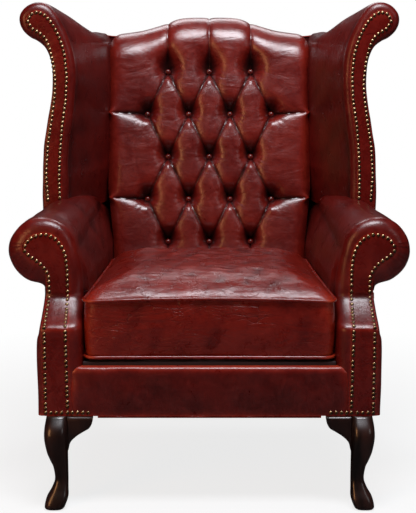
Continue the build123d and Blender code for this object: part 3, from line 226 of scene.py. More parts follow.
def skin(name, grid, thick, inside, finish, body, nodes=(), ring=False, **more):
    """Closed sheet: the grid, a copy moved inwards along its normals, and strips round its rims."""
    rows, columns = grid.shape[:2]
    inner = grid - normals(grid, inside) * thick
    outer_faces = grid_quads(rows, columns, ring)
    inner_faces = outer_faces[:, ::-1] + rows * columns
    index = np.arange(rows * columns).reshape(rows, columns)
    rims = [index[0], index[-1][::-1]]
    if ring:
        rims = [np.append(rim, rim[0]) for rim in rims]
    else:
        rims += [index[:, -1], index[:, 0][::-1]]
    strips = []
    for rim in rims:
        a, b = rim[:-1], rim[1:]
        strips.append(np.stack([b, a, a + rows * columns, b + rows * columns], axis=-1))
    faces = np.vstack([outer_faces, inner_faces] + strips)
    return make(name, np.stack([grid, inner]), faces.tolist(), finish, body, nodes, **more)


def closed(name, grids, finish, body, nodes=(), **more):
    """Closed bodies from rings, one for each grid: quads between the rings, and a flat face over the first
    and the last ring."""
    faces, start = [], 0
    for grid in grids:
        rows, columns = grid.shape[:2]
        faces += (grid_quads(rows, columns, ring=True) + start).tolist()
        for first in (0, (rows - 1) * columns):
            faces.append([start + first + k for k in range(columns)])
        start += rows * columns
    points = np.vstack([grid.reshape(-1, 3) for grid in grids])
    return make(name, points, faces, finish, body, nodes, **more)


def on_side(grid, sign):
    """The grid on the right side of the chair, sign one, or mirrored to the left, sign minus one."""
    return grid * np.array([sign, 1, 1])


print("grid helpers ready")

# %% [markdown]
# ## Leather
# Hand-dyed oxblood leather isn't one colour. It is rubbed back to a warm orange red on ridges and piping,
# with cloudy mottling between, and the folds are purple-black, partly from the dyeing and partly as painted
# shade. The colour ramp is driven by how proud each point stands, noise of three sizes in object space and,
# in patches, the borders of bent Voronoi cells. Much finer cells give the grain, stretched noise the
# creases, and a thin coat the soft wax sheen.

# %% Leather finish
def link(tree, source, target):
    """Join two sockets."""
    tree.links.new(source, target)


def set_up(node, **levels):
    """Plain values on a node's sockets, whose names are written with underscores for spaces."""
    for label, level in levels.items():
        node.inputs[label.replace("_", " ")].default_value = level
    return node


def add(tree, kind, **levels):
    """New shader node of a kind, with plain values on its sockets."""
    return set_up(tree.nodes.new("ShaderNode" + kind), **levels)


def new_material(name):
    """Material with its cleared tree, its shader and its object coordinates."""
    material = bpy.data.materials.new(name)
    material.use_nodes = True
    tree = material.node_tree
    tree.nodes.clear()
    out = add(tree, "OutputMaterial")
    shader = add(tree, "BsdfPrincipled")
    link(tree, shader.outputs["BSDF"], out.inputs["Surface"])
    return material, tree, shader, add(tree, "TexCoord").outputs["Object"]


def noise(tree, place, scale, detail=4.0, stretch=(1, 1, 1), twist=0.0, rough=0.5):
    """Cloudy pattern in object space, stretched along the axes."""
    scaled = add(tree, "Mapping", Scale=stretch)
    cloud = add(tree, "TexNoise", Scale=scale, Detail=detail, Roughness=rough, Distortion=twist)
    link(tree, place, scaled.inputs["Vector"])
    link(tree, scaled.outputs["Vector"], cloud.inputs["Vector"])
    return cloud.outputs["Fac"]


def sum_of(tree, parts):
    """Weighted sum of values: each part is a socket and its weight."""
    total = None
    for source, weight in parts:
        step = add(tree, "Math")
        step.operation = "MULTIPLY_ADD"
        step.inputs[1].default_value = weight
        step.inputs[2].default_value = 0.0
        link(tree, source, step.inputs[0])
        if total is not None:
            link(tree, total, step.inputs[2])
        total = step.outputs[0]
    return total


def spread(tree, value, low, high, to_low=0.0, to_high=1.0, kind="LINEAR"):
    """Value carried from one range to another, and held to the ends of the second."""
    node = add(tree, "MapRange", From_Min=low, From_Max=high, To_Min=to_low, To_Max=to_high)
    node.interpolation_type = kind
    link(tree, value, node.inputs["Value"])
    return node.outputs["Result"]


def combine(tree, operation, first, second):
    """Value of a sum, product or other step on a socket and a second socket or plain number."""
    node = add(tree, "Math")
    node.operation = operation
    link(tree, first, node.inputs[0])
    if isinstance(second, float):
        node.inputs[1].default_value = second
    else:
        link(tree, second, node.inputs[1])
    return node.outputs[0]


def ramp(tree, value, stops):
    """Colours along a value: each stop is a place and a colour."""
    node = add(tree, "ValToRGB")
    while len(node.color_ramp.elements) < len(stops):
        node.color_ramp.elements.new(0.5)
    for element, (at, colour) in zip(node.color_ramp.elements, stops):
        element.position = at
        element.color = (*colour, 1)
    link(tree, value, node.inputs["Fac"])
    return node.outputs["Color"]


def bump(tree, shader, layers):
    """Relief on a shader: each layer is a height, its strength and its depth in metres."""
    last = None
    for height, strength, depth in layers:
        node = add(tree, "Bump", Strength=strength, Distance=depth)
        link(tree, height, node.inputs["Height"])
        if last is not None:
            link(tree, last, node.inputs["Normal"])
        last = node.outputs["Normal"]
    link(tree, last, shader.inputs["Normal"])


def cell_edges(tree, place, scale):
    """Distance to the nearest border of a Voronoi pattern's cells."""
    cells = add(tree, "TexVoronoi", Scale=scale)
    cells.feature = "DISTANCE_TO_EDGE"
    link(tree, place, cells.inputs["Vector"])
    return cells.outputs["Distance"]


def crackle(tree, place, scale, width, stretch, patch):
    """Fine creases: zero on the cell borders of a bent and stretched Voronoi pattern and one away from
    them, kept to patches by a cloud pattern."""
    scaled = add(tree, "Mapping", Scale=stretch)
    link(tree, place, scaled.inputs["Vector"])
    bend = add(tree, "TexNoise", Scale=scale * 0.4, Detail=3.0)
    link(tree, place, bend.inputs["Vector"])
    shift = add(tree, "VectorMath")
    shift.operation = "MULTIPLY_ADD"
    shift.inputs[1].default_value = (0.03, 0.03, 0.03)
    link(tree, bend.outputs["Color"], shift.inputs[0])
    link(tree, scaled.outputs["Vector"], shift.inputs[2])
    edges = cell_edges(tree, shift.outputs["Vector"], scale)
    line = spread(tree, edges, 0.0, width, kind="SMOOTHSTEP")
    return combine(tree, "MAXIMUM", line, spread(tree, patch, 0.46, 0.60, 1.0, 0.0))


def leather(name, crease=1.0, lift=0.0, stretch=(1, 1, 1), net=0.15, shine=0.42, rough=0.28):
    """Oxblood leather: colour ramp from rubbing on ridges, painted shade and dyed colour in folds, and
    mottling; grain and creases as relief, a waxy coat.
    """
    material, tree, shader, place = new_material(name)
    wear = add(tree, "Attribute")
    wear.attribute_name = "wear"
    cloud = noise(tree, place, 9, 5, rough=0.6)
    streak = noise(tree, place, 26, 7, twist=1.2, rough=0.62)
    fleck = noise(tree, place, 120, 6, twist=0.6, rough=0.6)
    coarse = crackle(tree, place, 48, 0.05, stretch, noise(tree, place, 11, 3))
    fine = crackle(tree, place, 120, 0.08, stretch, noise(tree, place, 16, 3))
    # Proud points turn a rubbed orange red; folds turn purple-black, painted shade as well as dyed colour.
    dye_and_shade = sum_of(tree, [
        (wear.outputs["Fac"], 0.66), (cloud, 0.24), (streak, 0.24), (fleck, 0.16),
        (coarse, 0.08 * net), (fine, 0.05 * net),
    ])
    colour = ramp(tree, combine(tree, "ADD", dye_and_shade, lift - 0.16 - 0.13 * net), [
        (0.10, (0.006, 0.0006, 0.0008)),
        (0.32, (0.034, 0.0012, 0.0011)),
        (0.48, (0.088, 0.0030, 0.0016)),
        (0.66, (0.175, 0.0090, 0.0034)),
        (0.92, (0.350, 0.0380, 0.0090)),
    ])
    link(tree, colour, shader.inputs["Base Color"])
    gloss = spread(tree, streak, 0.3, 0.7, rough - 0.06, rough + 0.06)
    link(tree, gloss, shader.inputs["Roughness"])
    set_up(shader, Specular_IOR_Level=shine, Coat_Weight=0.12, Coat_Roughness=0.24)
    grain = cell_edges(tree, place, 620)
    fold = noise(tree, place, 55, 8, stretch=stretch, twist=1.6, rough=0.62)
    soft = noise(tree, place, 17, 3, stretch=stretch, twist=0.8)
    bump(tree, shader, [
        (soft, 0.45 * crease, 0.012),
        (coarse, net, 0.0012),
        (fine, net, 0.0005),
        (fold, 0.26 * crease, 0.0040),
        (grain, 0.25, 0.0004),
    ])
    return material


# The hide of the arms, wings, border and outside back is lowered in the ramp, darker than the back: painted
# shade for the upright faces that the light from above leaves dark.
hide = leather("oxblood_hide", crease=0.34, lift=-0.085, stretch=(1.0, 1.0, 0.6), rough=0.32)
back_hide = leather("oxblood_back_hide", crease=0.45, stretch=(0.7, 1.0, 1.6), net=0.10, shine=0.62,
                    rough=0.33)
cushion_hide = leather("oxblood_cushion_hide", crease=0.7, lift=0.045, stretch=(0.45, 1.3, 1.5), net=0.5,
                       shine=0.35, rough=0.30)
trim_hide = leather("oxblood_trim_hide", crease=0.3, lift=-0.02)
facing_hide = leather("oxblood_facing_hide", crease=0.4, lift=-0.015, shine=0.36)
button_hide = leather("oxblood_button_hide", crease=0.2, lift=-0.12)
hides = (hide, back_hide, cushion_hide, trim_hide, facing_hide, button_hide)
print("leather finishes", [finish.name for finish in hides])

# %% [markdown]
# ## Brass, mahogany and the hidden parts
# The nails are antiqued brass: a dull metal with dark dirt in its hollows. The legs are mahogany
# under near-black polish, so the grain hardly shows and the gloss does the work. The frame, springs,
# webbing and felt are plain workshop materials with a little grain or weave of their own.

# %% Other finishes
def plain(name, dark, light, scale, rough, metal=0.0, stretch=(1, 1, 1), relief=0.2, coat=0.0):
    """Two-tone finish with clouded colour, roughness and fine relief from the same stretched noise."""
    material, tree, shader, place = new_material(name)
    cloud = noise(tree, place, scale, 6, stretch=stretch, twist=0.5, rough=0.6)
    colour = ramp(tree, cloud, [(0.32, dark), (0.68, light)])
    link(tree, colour, shader.inputs["Base Color"])
    gloss = spread(tree, cloud, 0.0, 1.0, rough - 0.08, rough + 0.10)
    link(tree, gloss, shader.inputs["Roughness"])
    set_up(shader, Metallic=metal, Coat_Weight=coat, Coat_Roughness=0.12)
    bump(tree, shader, [(cloud, relief, 0.0006)])
    return material


def woven(name, dark, light, threads, rough=0.8):
    """Cloth of crossing threads: two wave patterns across each other colour it and raise it."""
    material, tree, shader, place = new_material(name)
    bands = []
    for direction in ("X", "Y"):
        wave = add(tree, "TexWave", Scale=threads, Distortion=0.6)
        wave.bands_direction = direction
        link(tree, place, wave.inputs["Vector"])
        bands.append(wave.outputs["Fac"])
    cloud = noise(tree, place, 60, 4)
    weave = sum_of(tree, [(bands[0], 0.35), (bands[1], 0.35), (cloud, 0.3)])
    link(tree, ramp(tree, weave, [(0.25, dark), (0.75, light)]), shader.inputs["Base Color"])
    set_up(shader, Roughness=rough)
    bump(tree, shader, [(weave, 0.5, 0.0005)])
    return material


brass = plain("antique_brass", (0.050, 0.034, 0.018), (0.36, 0.26, 0.145), 170, 0.32, metal=1.0)
mahogany = plain("leg_mahogany", (0.0035, 0.0012, 0.0010), (0.026, 0.0060, 0.0033), 24, 0.33,
                 stretch=(1, 1, 0.16), relief=0.05, coat=0.5)
timber = plain("frame_timber", (0.34, 0.20, 0.10), (0.58, 0.39, 0.21), 30, 0.55, stretch=(0.2, 1, 1))
steel = plain("spring_steel", (0.10, 0.10, 0.11), (0.30, 0.30, 0.32), 90, 0.36, metal=1.0)
jute = woven("back_webbing", (0.20, 0.13, 0.06), (0.46, 0.34, 0.19), 210)
felt = plain("deck_felt", (0.010, 0.003, 0.004), (0.026, 0.007, 0.008), 240, 0.92, relief=0.6)
dust = woven("dust_cloth", (0.010, 0.010, 0.011), (0.040, 0.040, 0.042), 420)
tape = woven("zip_tape_cloth", (0.020, 0.004, 0.005), (0.075, 0.014, 0.014), 700)
zip_brass = plain("zip_brass", (0.16, 0.11, 0.05), (0.55, 0.41, 0.20), 220, 0.30, metal=1.0)
foam = plain("cushion_foam", (0.60, 0.50, 0.30), (0.74, 0.65, 0.44), 260, 0.9, relief=0.6)

# %% Finishes on the solids that stay
FINISH_OF_SLOT = {
    "oxblood_leather": hide, "cushion_leather": cushion_hide, "antique_brass": brass,
    "leg_mahogany": mahogany, "frame_timber": timber, "spring_steel": steel, "webbing": jute,
    "deck_felt": felt, "dust_cloth": dust, "zip_tape": tape, "zip_brass": zip_brass, "cushion_foam": foam,
}
dressed = 0
for name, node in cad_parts.items():
    slot_name = node.get("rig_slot")
    for kept in node.material_slots:
        pick = slot_name or (kept.material.name if kept.material else "")
        match = [finish for key, finish in FINISH_OF_SLOT.items() if pick.startswith(key)]
        if match:
            kept.material = match[0]
            dressed += 1
print("dressed", dressed, "of", len(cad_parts), "solids")

# %% [markdown]
# ## Deep-buttoned back
# Seventeen buttons pull the leather through the stuffing. Between them it folds along the lines of a
# diamond net, and each diamond stands up round and tight. One way is to sculpt it, another to simulate
# cloth over pegs. A formula is steadier: the height of the leather at a point depends on its distance to
# the nearest fold. Distances to all the folds are blended, so that a diamond has no ridge, and the fold
# itself rises a little half way between two buttons.

# %% Folds of the back
ODD = np.array([-PITCH, 0, PITCH])
EVEN = np.array([-1.5 * PITCH, -PITCH / 2, PITCH / 2, 1.5 * PITCH])
BUTTONS = [(x, z) for k, z in enumerate(ROWS) for x in (EVEN if k % 2 else ODD)]
folds = []
for k in range(4):
    for x in (EVEN if k % 2 else ODD):
        for step in (-PITCH / 2, PITCH / 2):
            if abs(x + step) < 1.6 * PITCH:
                folds.append((x, ROWS[k], x + step, ROWS[k + 1], 1.0))
for x in ODD:
    folds.append((x, ROWS[0], x, 1120.0, 0.0))
    folds.append((x, ROWS[4], x, 280.0, 0.0))
for k in (1, 3):
    for end in (-1, 1):
        folds.append((end * 1.5 * PITCH, ROWS[k], end * 262.0, ROWS[k] + 4.0, 0.0))
folds = np.array(folds)
PLUMP, FOLD_RISE, OPEN_RISE, EDGE_RISE, STEEP, ROUNDING = 29.5, 23.0, 27.0, 3.0, 3.2, 16.0
print("buttons", len(BUTTONS), "folds", len(folds))


def quilt(x, z, half):
    """Height of the leather over the button plane. Each fold, and the outer edge, has a height of its own
    and a weight, its distance to a steep inverse power. Their weighted average is the floor from which
    the leather rises as a hyperbolic tangent of the distance joined from the same weights, less a narrow
    crease at the nearest fold. Each button takes away a round hollow above itself, adds a small bulge
    below, and gathers the leather round it in two fading waves."""
    total, lifted, nearest = 1e-9, 0.0, 99.0
    for x0, z0, x1, z1, shared in folds:
        dx, dz = x1 - x0, z1 - z0
        along = np.clip(((x - x0) * dx + (z - z0) * dz) / (dx * dx + dz * dz), 0, 1)
        away = np.hypot(x - x0 - along * dx, z - z0 - along * dz) + 0.35
        weight = away ** -STEEP
        run = along * np.hypot(dx, dz)
        raised = FOLD_RISE * np.sin(np.pi * along) ** 0.7 if shared else OPEN_RISE * (1 - np.exp(-run / 34))
        total = total + weight
        lifted = lifted + weight * raised
        nearest = np.minimum(nearest, away)
    edge = np.maximum(half - np.abs(x), 0) + 0.5
    weight = edge ** -STEEP
    total, lifted = total + weight, lifted + weight * EDGE_RISE
    far = total ** (-1 / STEEP)
    base = lifted / total
    height = base + (PLUMP - base) * np.tanh(far / ROUNDING) ** 0.95 - 3.2 * np.exp(-nearest / 1.6)
    for bx, bz in BUTTONS:
        reach = np.hypot(x - bx, z - bz)
        turn = np.arctan2(z - bz, x - bx)
        tall = 1.45 if bz == ROWS[0] else 1.0
        above, beside = (z - bz - 11 * tall) / (18 * tall), (x - bx) / (17 * tall)
        height = height - 19.0 * np.exp(-above ** 2 - beside ** 2)
        height = height + 3.0 * np.exp(-((z - bz + 21) / 12) ** 2 - ((x - bx) / 12) ** 2)
        pull = np.exp(-((reach - 22) / 13) ** 2) * (0.3 + 0.7 * np.abs(np.cos(turn)))
        waves = 0.40 * np.sin(17 * turn + bx) + 0.30 * np.sin(11 * turn + bz + 0.05 * reach)
        height = height + pull * waves
    return height


# %% Inside back
def crest_height(x):
    """Top of the back: a smooth curve through a raised middle, a dip each side and level shoulders."""
    knots = [(0, 988), (54, 986), (80, 982), (105, 973), (127, 965), (160, 956), (195, 951), (230, 948),
             (260, 940)]
    curve = flow(knots, np.linspace(0, len(knots) - 1, 400))
    return np.interp(np.abs(x), curve[:, 0], curve[:, 1])


def back_half(z):
    """Half width of the inside back at a height: narrower between the arms."""
    return 227.6 + 12.4 * np.clip((z - 470) / 120, 0, 1)


def inside_back_grid(rows=262, bend=28, top=10, columns=212):
    """Grid of the back: rows climb the raked button plane, bend over the crest in a quarter turn of
    radius 40 and run back to the rear face, while the quilt height moves each point along the normal."""
    u = np.linspace(-1, 1, columns)[None, :]
    radius, lean = 40.0, np.arctan(0.2)
    climb = np.linspace(0, 1, rows)[:, None]
    foot, half_top, stuffing = 308, 240, 28
    base_z = crest_height(u * half_top) - radius * (1 - np.sin(lean)) - stuffing
    z_flat = foot + (base_z - foot) * climb
    x_flat = u * back_half(z_flat)
    y_flat = button_plane(z_flat)
    angle = np.linspace(lean, np.pi / 2, bend + 1)[1:, None]
    x_top = np.repeat(u * half_top, bend, axis=0)
    base_y = button_plane(base_z)
    y_bend = base_y + radius * (np.cos(lean) - np.cos(angle))
    z_bend = base_z + radius * (np.sin(angle) - np.sin(lean))
    z_end = base_z + radius * (1 - np.sin(lean))
    y_top = base_y + radius * np.cos(lean)
    y_end = rear(z_end) - 8
    back = np.linspace(0, 1, top + 1)[1:, None]
    y_back = y_top + (y_end - y_top) * back
    z_back = z_end + 0 * back
    x = np.vstack([x_flat, x_top, np.repeat(u * half_top, top, axis=0)])
    y = np.vstack([y_flat, y_bend, y_back])
    z = np.vstack([z_flat, z_bend, z_back])
    over = base_z + radius * (np.pi / 2 - lean)
    climb_z = np.vstack([z_flat, base_z + radius * (angle - lean), over + y_back - y_top])
    n_y = np.vstack([-np.ones_like(z_flat), -np.cos(angle) + 0 * u, 0 * y_back])
    n_z = np.vstack([0.2 * np.ones_like(z_flat), np.sin(angle) + 0 * u, np.ones_like(y_back)])
    length = np.hypot(n_y, n_z)
    fade = np.ones_like(x)
    fade[-top:] = 1 - 0.2 * back ** 2
    height = quilt(x, climb_z, back_half(z)) * fade
    grid = xyz(x, y + height * n_y / length, z + height * n_z / length)
    grid = uneven(grid, 0.7, 90, 3)
    rim = grid[:, [0, -1]] + np.array([0, 26, 0])
    rim[..., 1] = np.minimum(rim[..., 1], rear(rim[..., 2]) - 9)
    return np.concatenate([rim[:, :1], grid, rim[:, 1:]], axis=1)


back_grid = inside_back_grid()
inside_back = skin("inside_back_leather", back_grid, 5.0, (0, 320, 650), back_hide, "chair", ["inside_back"],
                   rounds=90, full=9.0, ridge=0.2)
print("inside back", back_grid.shape, "front at", round(back_grid[..., 1].min(), 1))


# %% Covered buttons
def dome(middle, radius, depth, rings=7, around=20):
    """Covered button facing -Y: rings whose radius is the cosine and whose depth is the sine of an
    angle, a squashed half ball, on a short straight edge."""
    a = np.linspace(0, np.pi / 2, rings)[:, None]
    b = circle(around)
    flat = radius * np.maximum(np.cos(a), 0.02) ** 0.7
    ring = xyz(middle[0] + flat * np.cos(b), middle[1] - depth * np.sin(a), middle[2] + flat * np.sin(b))
    root = ring[:1] * [1, 0, 1] + np.array([0, middle[1] + 5, 0])
    return np.concatenate([root, ring])


domes = [dome((x, button_plane(z) - 1.0, z), 6.6, 5.2) for x, z in BUTTONS]
buttons = closed("covered_buttons", domes, button_hide, "chair", ["back_buttons"], rounds=4, full=1.5,
                 crisp=80)
print("buttons", len(BUTTONS), "faces", len(buttons.data.polygons))

# %% [markdown]
# ## Wings and arms
# Both are stuffed rolls whose front edge is a closed line seen from the front. One line is the leather's
# outline, and a second, inside it, is the edge of the nailed facing. The leather turns from the facing
# to the outline in a quarter ellipse, which makes the plump rolled edge, and then runs back: every point
# of the outline travels straight to where it meets the back of the chair. The inner part of the line
# belongs to the stuffing and the outer part to the flat outside panel, as on the real chair.

# %% Lines of the wing
WING_LINE = np.array([
    (317, 560), (317, 603), (317, 646), (317, 676), (312, 736), (303, 796), (297, 856), (297, 890),
    (301, 923), (310, 955), (322, 985), (338, 1014), (356, 1033), (377, 1038), (399, 1031), (415, 1014),
    (418.5, 995), (411, 976), (396, 961), (380, 953), (366, 942), (357, 929), (350.5, 910), (348, 885),
    (348.5, 850), (354, 808), (360, 778), (365, 748), (370, 718), (372, 688), (373, 658), (374, 620),
    (374, 560),
], float)
WING_FACE = np.array([
    (331, 560), (331, 603), (331.5, 646), (331, 676), (326, 736), (318, 796), (312, 856), (311.5, 890),
    (315, 924), (325, 956), (337, 985), (349, 1003), (362, 1015.5), (378, 1022), (394, 1017), (404, 1006),
    (404.5, 995), (400, 982), (389, 975), (376, 965.5), (363.5, 953), (355, 934), (348.6, 911),
    (346, 885), (346.8, 850), (352, 808), (357.8, 778), (363, 748), (367.8, 718), (370, 688), (371, 658),
    (371, 620), (371, 560),
], float)
WING_END_Z = 600 + 439 * np.array([
    -0.09, 0.007, 0.105, 0.17, 0.295, 0.417, 0.548, 0.615, 0.697, 0.754, 0.788, 0.796, 0.801, 0.799, 0.791,
    0.775, 0.755, 0.735, 0.71, 0.692, 0.672, 0.65, 0.60, 0.545, 0.47, 0.395, 0.335, 0.275, 0.22, 0.165,
    0.105, 0.03, -0.09,
])
WING_END_X = np.where(np.arange(33) < 10, 240.6, 299.7 + (WING_LINE[:, 0] - 374.85) * 0.3)
WING_END_X[10:15] = [250.0, 263.0, 276.0, 288.0, 299.0]
print("wing line points", len(WING_LINE))


# %% Grid of a rolled edge running back
def rolled(line, face, front, depth, t, bows=9):
    """Rows from the facing to the outline: the way across grows with the sine of an angle, and the way
    back with one less its cosine, a quarter ellipse whose depth is a share of its width."""
    outer, inner = flow(line, t), flow(face, t)
    angle = np.linspace(0, np.pi / 2, bows)[:, None]
    width = np.linalg.norm(outer - inner, axis=1)[None, :]
    xz = inner[None] + (outer - inner)[None] * np.sin(angle)[..., None]
    y = front(xz[..., 1]) + depth * width * (1 - np.cos(angle))
    return xyz(xz[..., 0], y, xz[..., 1]), y[-1]


def wing_grid(first, last, columns, rows):
    """Grid of the wing between two points of its line: the rolled front, then straight runs to the rear,
    eased in at their end. The top arches a little, the inner face swells in its middle, and the lowest
    rows are lifted on to the arm's roll."""
    t = np.linspace(first, last, columns)
    edge, start = rolled(WING_LINE, WING_FACE, lambda z: WING + FACING_GAP + 0 * z, 0.95, t)
    outer = flow(WING_LINE, t)
    end = flow(np.stack([WING_END_X, WING_END_Z], axis=1), t)
    back = np.linspace(0, 1, rows + 1)[1:, None]
    y_rear = rear(end[:, 1]) - REAR_GAP
    y = start + (y_rear - start) * back
    along = np.clip((y - WING_FULL) / (WING_END - WING_FULL), 0, 1.15)
    along = along - np.maximum(along - 0.85, 0) ** 2 / 0.6
    x = outer[:, 0] + (end[:, 0] - outer[:, 0]) * along
    on_top = np.exp(-((t - 12.5) / 2.2) ** 2)
    z = outer[:, 1] + (end[:, 1] - outer[:, 1]) * along + 7.0 * np.sin(np.pi * along) * on_top
    grid = np.concatenate([edge, xyz(x, y, z)])
    middle, top, radius = roll(grid[..., 1])
    rest = top + np.sqrt(np.maximum(radius ** 2 - (grid[..., 0] - middle) ** 2, 0)) - 7
    low = np.clip((603 - grid[..., 2]) / 43, 0, 1)
    grid[..., 2] = grid[..., 2] + (np.maximum(rest, grid[..., 2]) - grid[..., 2]) * low
    inner = np.clip((10 - t) / 3, 0, 1) * np.clip(t / 2, 0, 1)
    swell = np.concatenate([np.zeros((len(edge), 1)), np.sin(np.pi * back) ** 0.8]) * inner[None, :]
    grid[..., 0] = grid[..., 0] - 7.5 * swell
    return grid


def stretched(turn, sign, kind, node, grid, inside, thick, size, wave, seed, **more):
    """Leather of one side from the right side's grid: mirrored to its side, moved along its normals by a
    gentle unevenness, and given its thickness."""
    inside = (sign * inside[0], *inside[1:])
    face = on_side(grid, sign)
    face = face + normals(face, inside) * (size * ripple(face, wave, seed + sign))[..., None]
    return skin(f"{turn}_{kind}_leather", face, thick, inside, hide, "chair", [f"{turn}_{node}"], **more)


inner_wing = wing_grid(0, 20, 190, 64)
outer_wing = wing_grid(20, 32, 90, 40)
for turn, sign in SIDES:
    piece = stretched(turn, sign, "wing", "inside_wing", inner_wing, (345, 60, 800), 6.0, 0.7, 80, 11,
                      rounds=26, full=4.5, ridge=0.1)
    stretched(turn, sign, "wing_outside", "outside_wing", outer_wing, (300, 60, 800), 3.0, 0.5, 90, 15,
              rounds=20, full=4.0)
print("wing grids", inner_wing.shape, outer_wing.shape)

# %% Lines of the arm
def arc(angle):
    """Point of the scroll at an angle."""
    turned = np.radians(angle)
    return SCROLL_X + SCROLL_RADIUS * np.cos(turned), SCROLL_Z + SCROLL_RADIUS * np.sin(turned)


ARM_LINE = np.array([
    (266, 195), (266, 300), (266, 385), (266, 435), (268, 488), arc(178), arc(153), arc(128), arc(102),
    arc(76), arc(50), arc(22), arc(-5), arc(-32), arc(-60), arc(-86), (349, 441), (351, 405), (355, 372),
    (360, 338), (359, 195),
], float)
ARM_FACE = np.array([
    (292, 195), (292.5, 300), (293.5, 385), (294, 435), (294.5, 490), (298, 524), (306.5, 546),
    (321, 563.5), (340, 572.3), (358, 571.5), (374, 565.7), (389, 551), (393, 535), (382.7, 519.7),
    (366.6, 507.3), (352.5, 497.5), (343.6, 480), (344, 440), (348, 385), (348, 345), (348, 195),
], float)
slope_t = np.linspace(0, 1, 60)[:, None]
foot, pull, head = np.array([[(FRONT, 385)], [(-330.0, 404.2)], [(SCROLL, 435)]])
slope = (1 - slope_t) ** 2 * foot + 2 * slope_t * (1 - slope_t) * pull + slope_t ** 2 * head


def arm_front(z):
    """Depth of the arm's front at a height: upright below 385, a hollow slope back to the scroll above,
    averaged over a span of 14 so that the leather turns softly."""
    return np.mean([np.interp(z + step, slope[:, 1], slope[:, 0]) for step in np.linspace(-7, 7, 9)], axis=0)


def arm_grid(first, last, columns, rows):
    """Grid of the arm between two points of its line: the rolled front, with small gathers round the
    scroll, then runs to the rear. On these, wall points follow the seat's taper, roll points the
    narrowing cone and panel points the base."""
    t = np.linspace(first, last, columns)
    edge, start = rolled(ARM_LINE, ARM_FACE, lambda z: arm_front(z) + FACING_GAP, 0.92, t)
    across = np.linspace(0, 1, len(edge))[:, None]
    gathers = np.sin(13 * t + 2 * np.sin(5 * t)) * np.exp(-((t - 12.5) / 2.2) ** 2)
    edge[..., 1] = edge[..., 1] + 0.9 * np.sin(np.pi * across) * gathers
    outer = flow(ARM_LINE, t)
    back = np.linspace(0, 1, rows + 1)[1:, None]
    y = start + (rear(outer[:, 1]) - REAR_GAP - start) * back
    middle, height, radius = roll(y)
    on_roll = np.clip((t - 3.6) / 1.4, 0, 1) * np.clip((16.2 - t) / 0.9, 0, 1)
    on_panel = np.clip((t - 15.3) / 0.9, 0, 1)
    wall_x = seat_side(y) - 266 + outer[:, 0]
    wall_z = outer[:, 1] + 0 * y
    roll_x = middle + (outer[:, 0] - SCROLL_X) * radius / SCROLL_RADIUS
    roll_z = height + (outer[:, 1] - SCROLL_Z) * radius / SCROLL_RADIUS
    panel_x = side(y) + outer[:, 0] - side(start)
    under = height - radius - 1
    panel_z = BASE + (outer[:, 1] - BASE) * (under - BASE) / (454 - BASE)
    on_wall = 1 - on_roll - on_panel
    x = wall_x * on_wall + roll_x * on_roll + panel_x * on_panel
    z = wall_z * on_wall + roll_z * on_roll + panel_z * on_panel
    return np.concatenate([edge, xyz(x, y, z)])


inner_arm = arm_grid(0, 16, 190, 70)
outer_arm = arm_grid(16, 20, 90, 60)
for turn, sign in SIDES:
    piece = stretched(turn, sign, "arm", "inside_arm", inner_arm, (345, 0, 500), 6.0, 0.8, 85, 21,
                      rounds=26, full=4.5, ridge=0.1)
    stretched(turn, sign, "arm_outside", "outside_arm", outer_arm, (250, 0, 300), 3.0, 0.6, 110, 25,
              rounds=20, full=4.0)
print("arm grids", inner_arm.shape, outer_arm.shape)

# %% [markdown]
# ## Nailed facings
# A narrow panel of leather covers the stuffing's raw front edge, held by a row of nails along each side.
# It is a ladder: each rung joins the inner edge to the outer edge at the same share of the way up, and
# at the scroll the two sides meet in the curl. The panel swells a little between its nails.

# %% Facings
def ladder(inner, outer, front, swell, rungs=150, across=18):
    """Grid between two edge curves. Its depth comes from the front's shape, less a swell that is one
    minus the fourth power of the distance from the middle of the rung."""
    t = even(inner, rungs)
    a, b = flow(inner, t), flow(outer, t)
    s = np.linspace(0, 1, across + 1)
    xz = a[:, None] + (b - a)[:, None] * s[None, :, None]
    width = np.clip(np.linalg.norm(b - a, axis=1)[:, None] / 26, 0, 1)
    y = front(xz[..., 1]) + 1.6 - swell * width * (1 - np.abs(2 * s - 1) ** 4)[None, :]
    return xyz(xz[..., 0], y, xz[..., 1])


ARM_INNER = np.vstack([ARM_FACE[:12], [(393, 538)]])
ARM_OUTER = [
    (348, 195), (348, 300), (348, 385), (344, 435), (343.5, 470), (345, 486), (351, 496), (359, 502.5),
    (366.6, 507.3), (375, 513), (382.7, 519.7), (389, 527), (393, 534),
]
WING_INNER = np.vstack([WING_FACE[:16], [(405, 1000)]])
WING_OUTER = [
    (371, 560), (371, 603), (371, 646), (370, 676), (364.5, 736), (354, 796), (346.8, 850), (346.2, 885),
    (348.6, 911), (355, 934), (363.5, 953), (370, 960), (376, 965.5), (384, 971.5), (393, 977),
    (401, 985), (405, 996),
]
arm_facing = ladder(ARM_INNER, ARM_OUTER, arm_front, 2.6)
wing_facing = ladder(WING_INNER, WING_OUTER, lambda z: WING + 0 * z, 2.2)
for turn, sign in SIDES:
    for kind, grid in (("arm", arm_facing), ("wing", wing_facing)):
        skin(f"{turn}_{kind}_facing_leather", on_side(grid, sign), 3.0, (sign * 330, 60, 600), facing_hide,
             "chair", [f"{turn}_{kind}_facing"], rounds=8, full=3.0)
print("facings", arm_facing.shape, wing_facing.shape)

# %% [markdown]
# ## Border, welt, outside back and dust cover
# The strip under the cushion is stuffed thinly, so it swells by a few millimetres and turns over at its
# top and ends. The outside back is one flat piece. Its outline is easiest as four edges, and the points
# between them come from blending the edges across and up, less the blend of the corners.

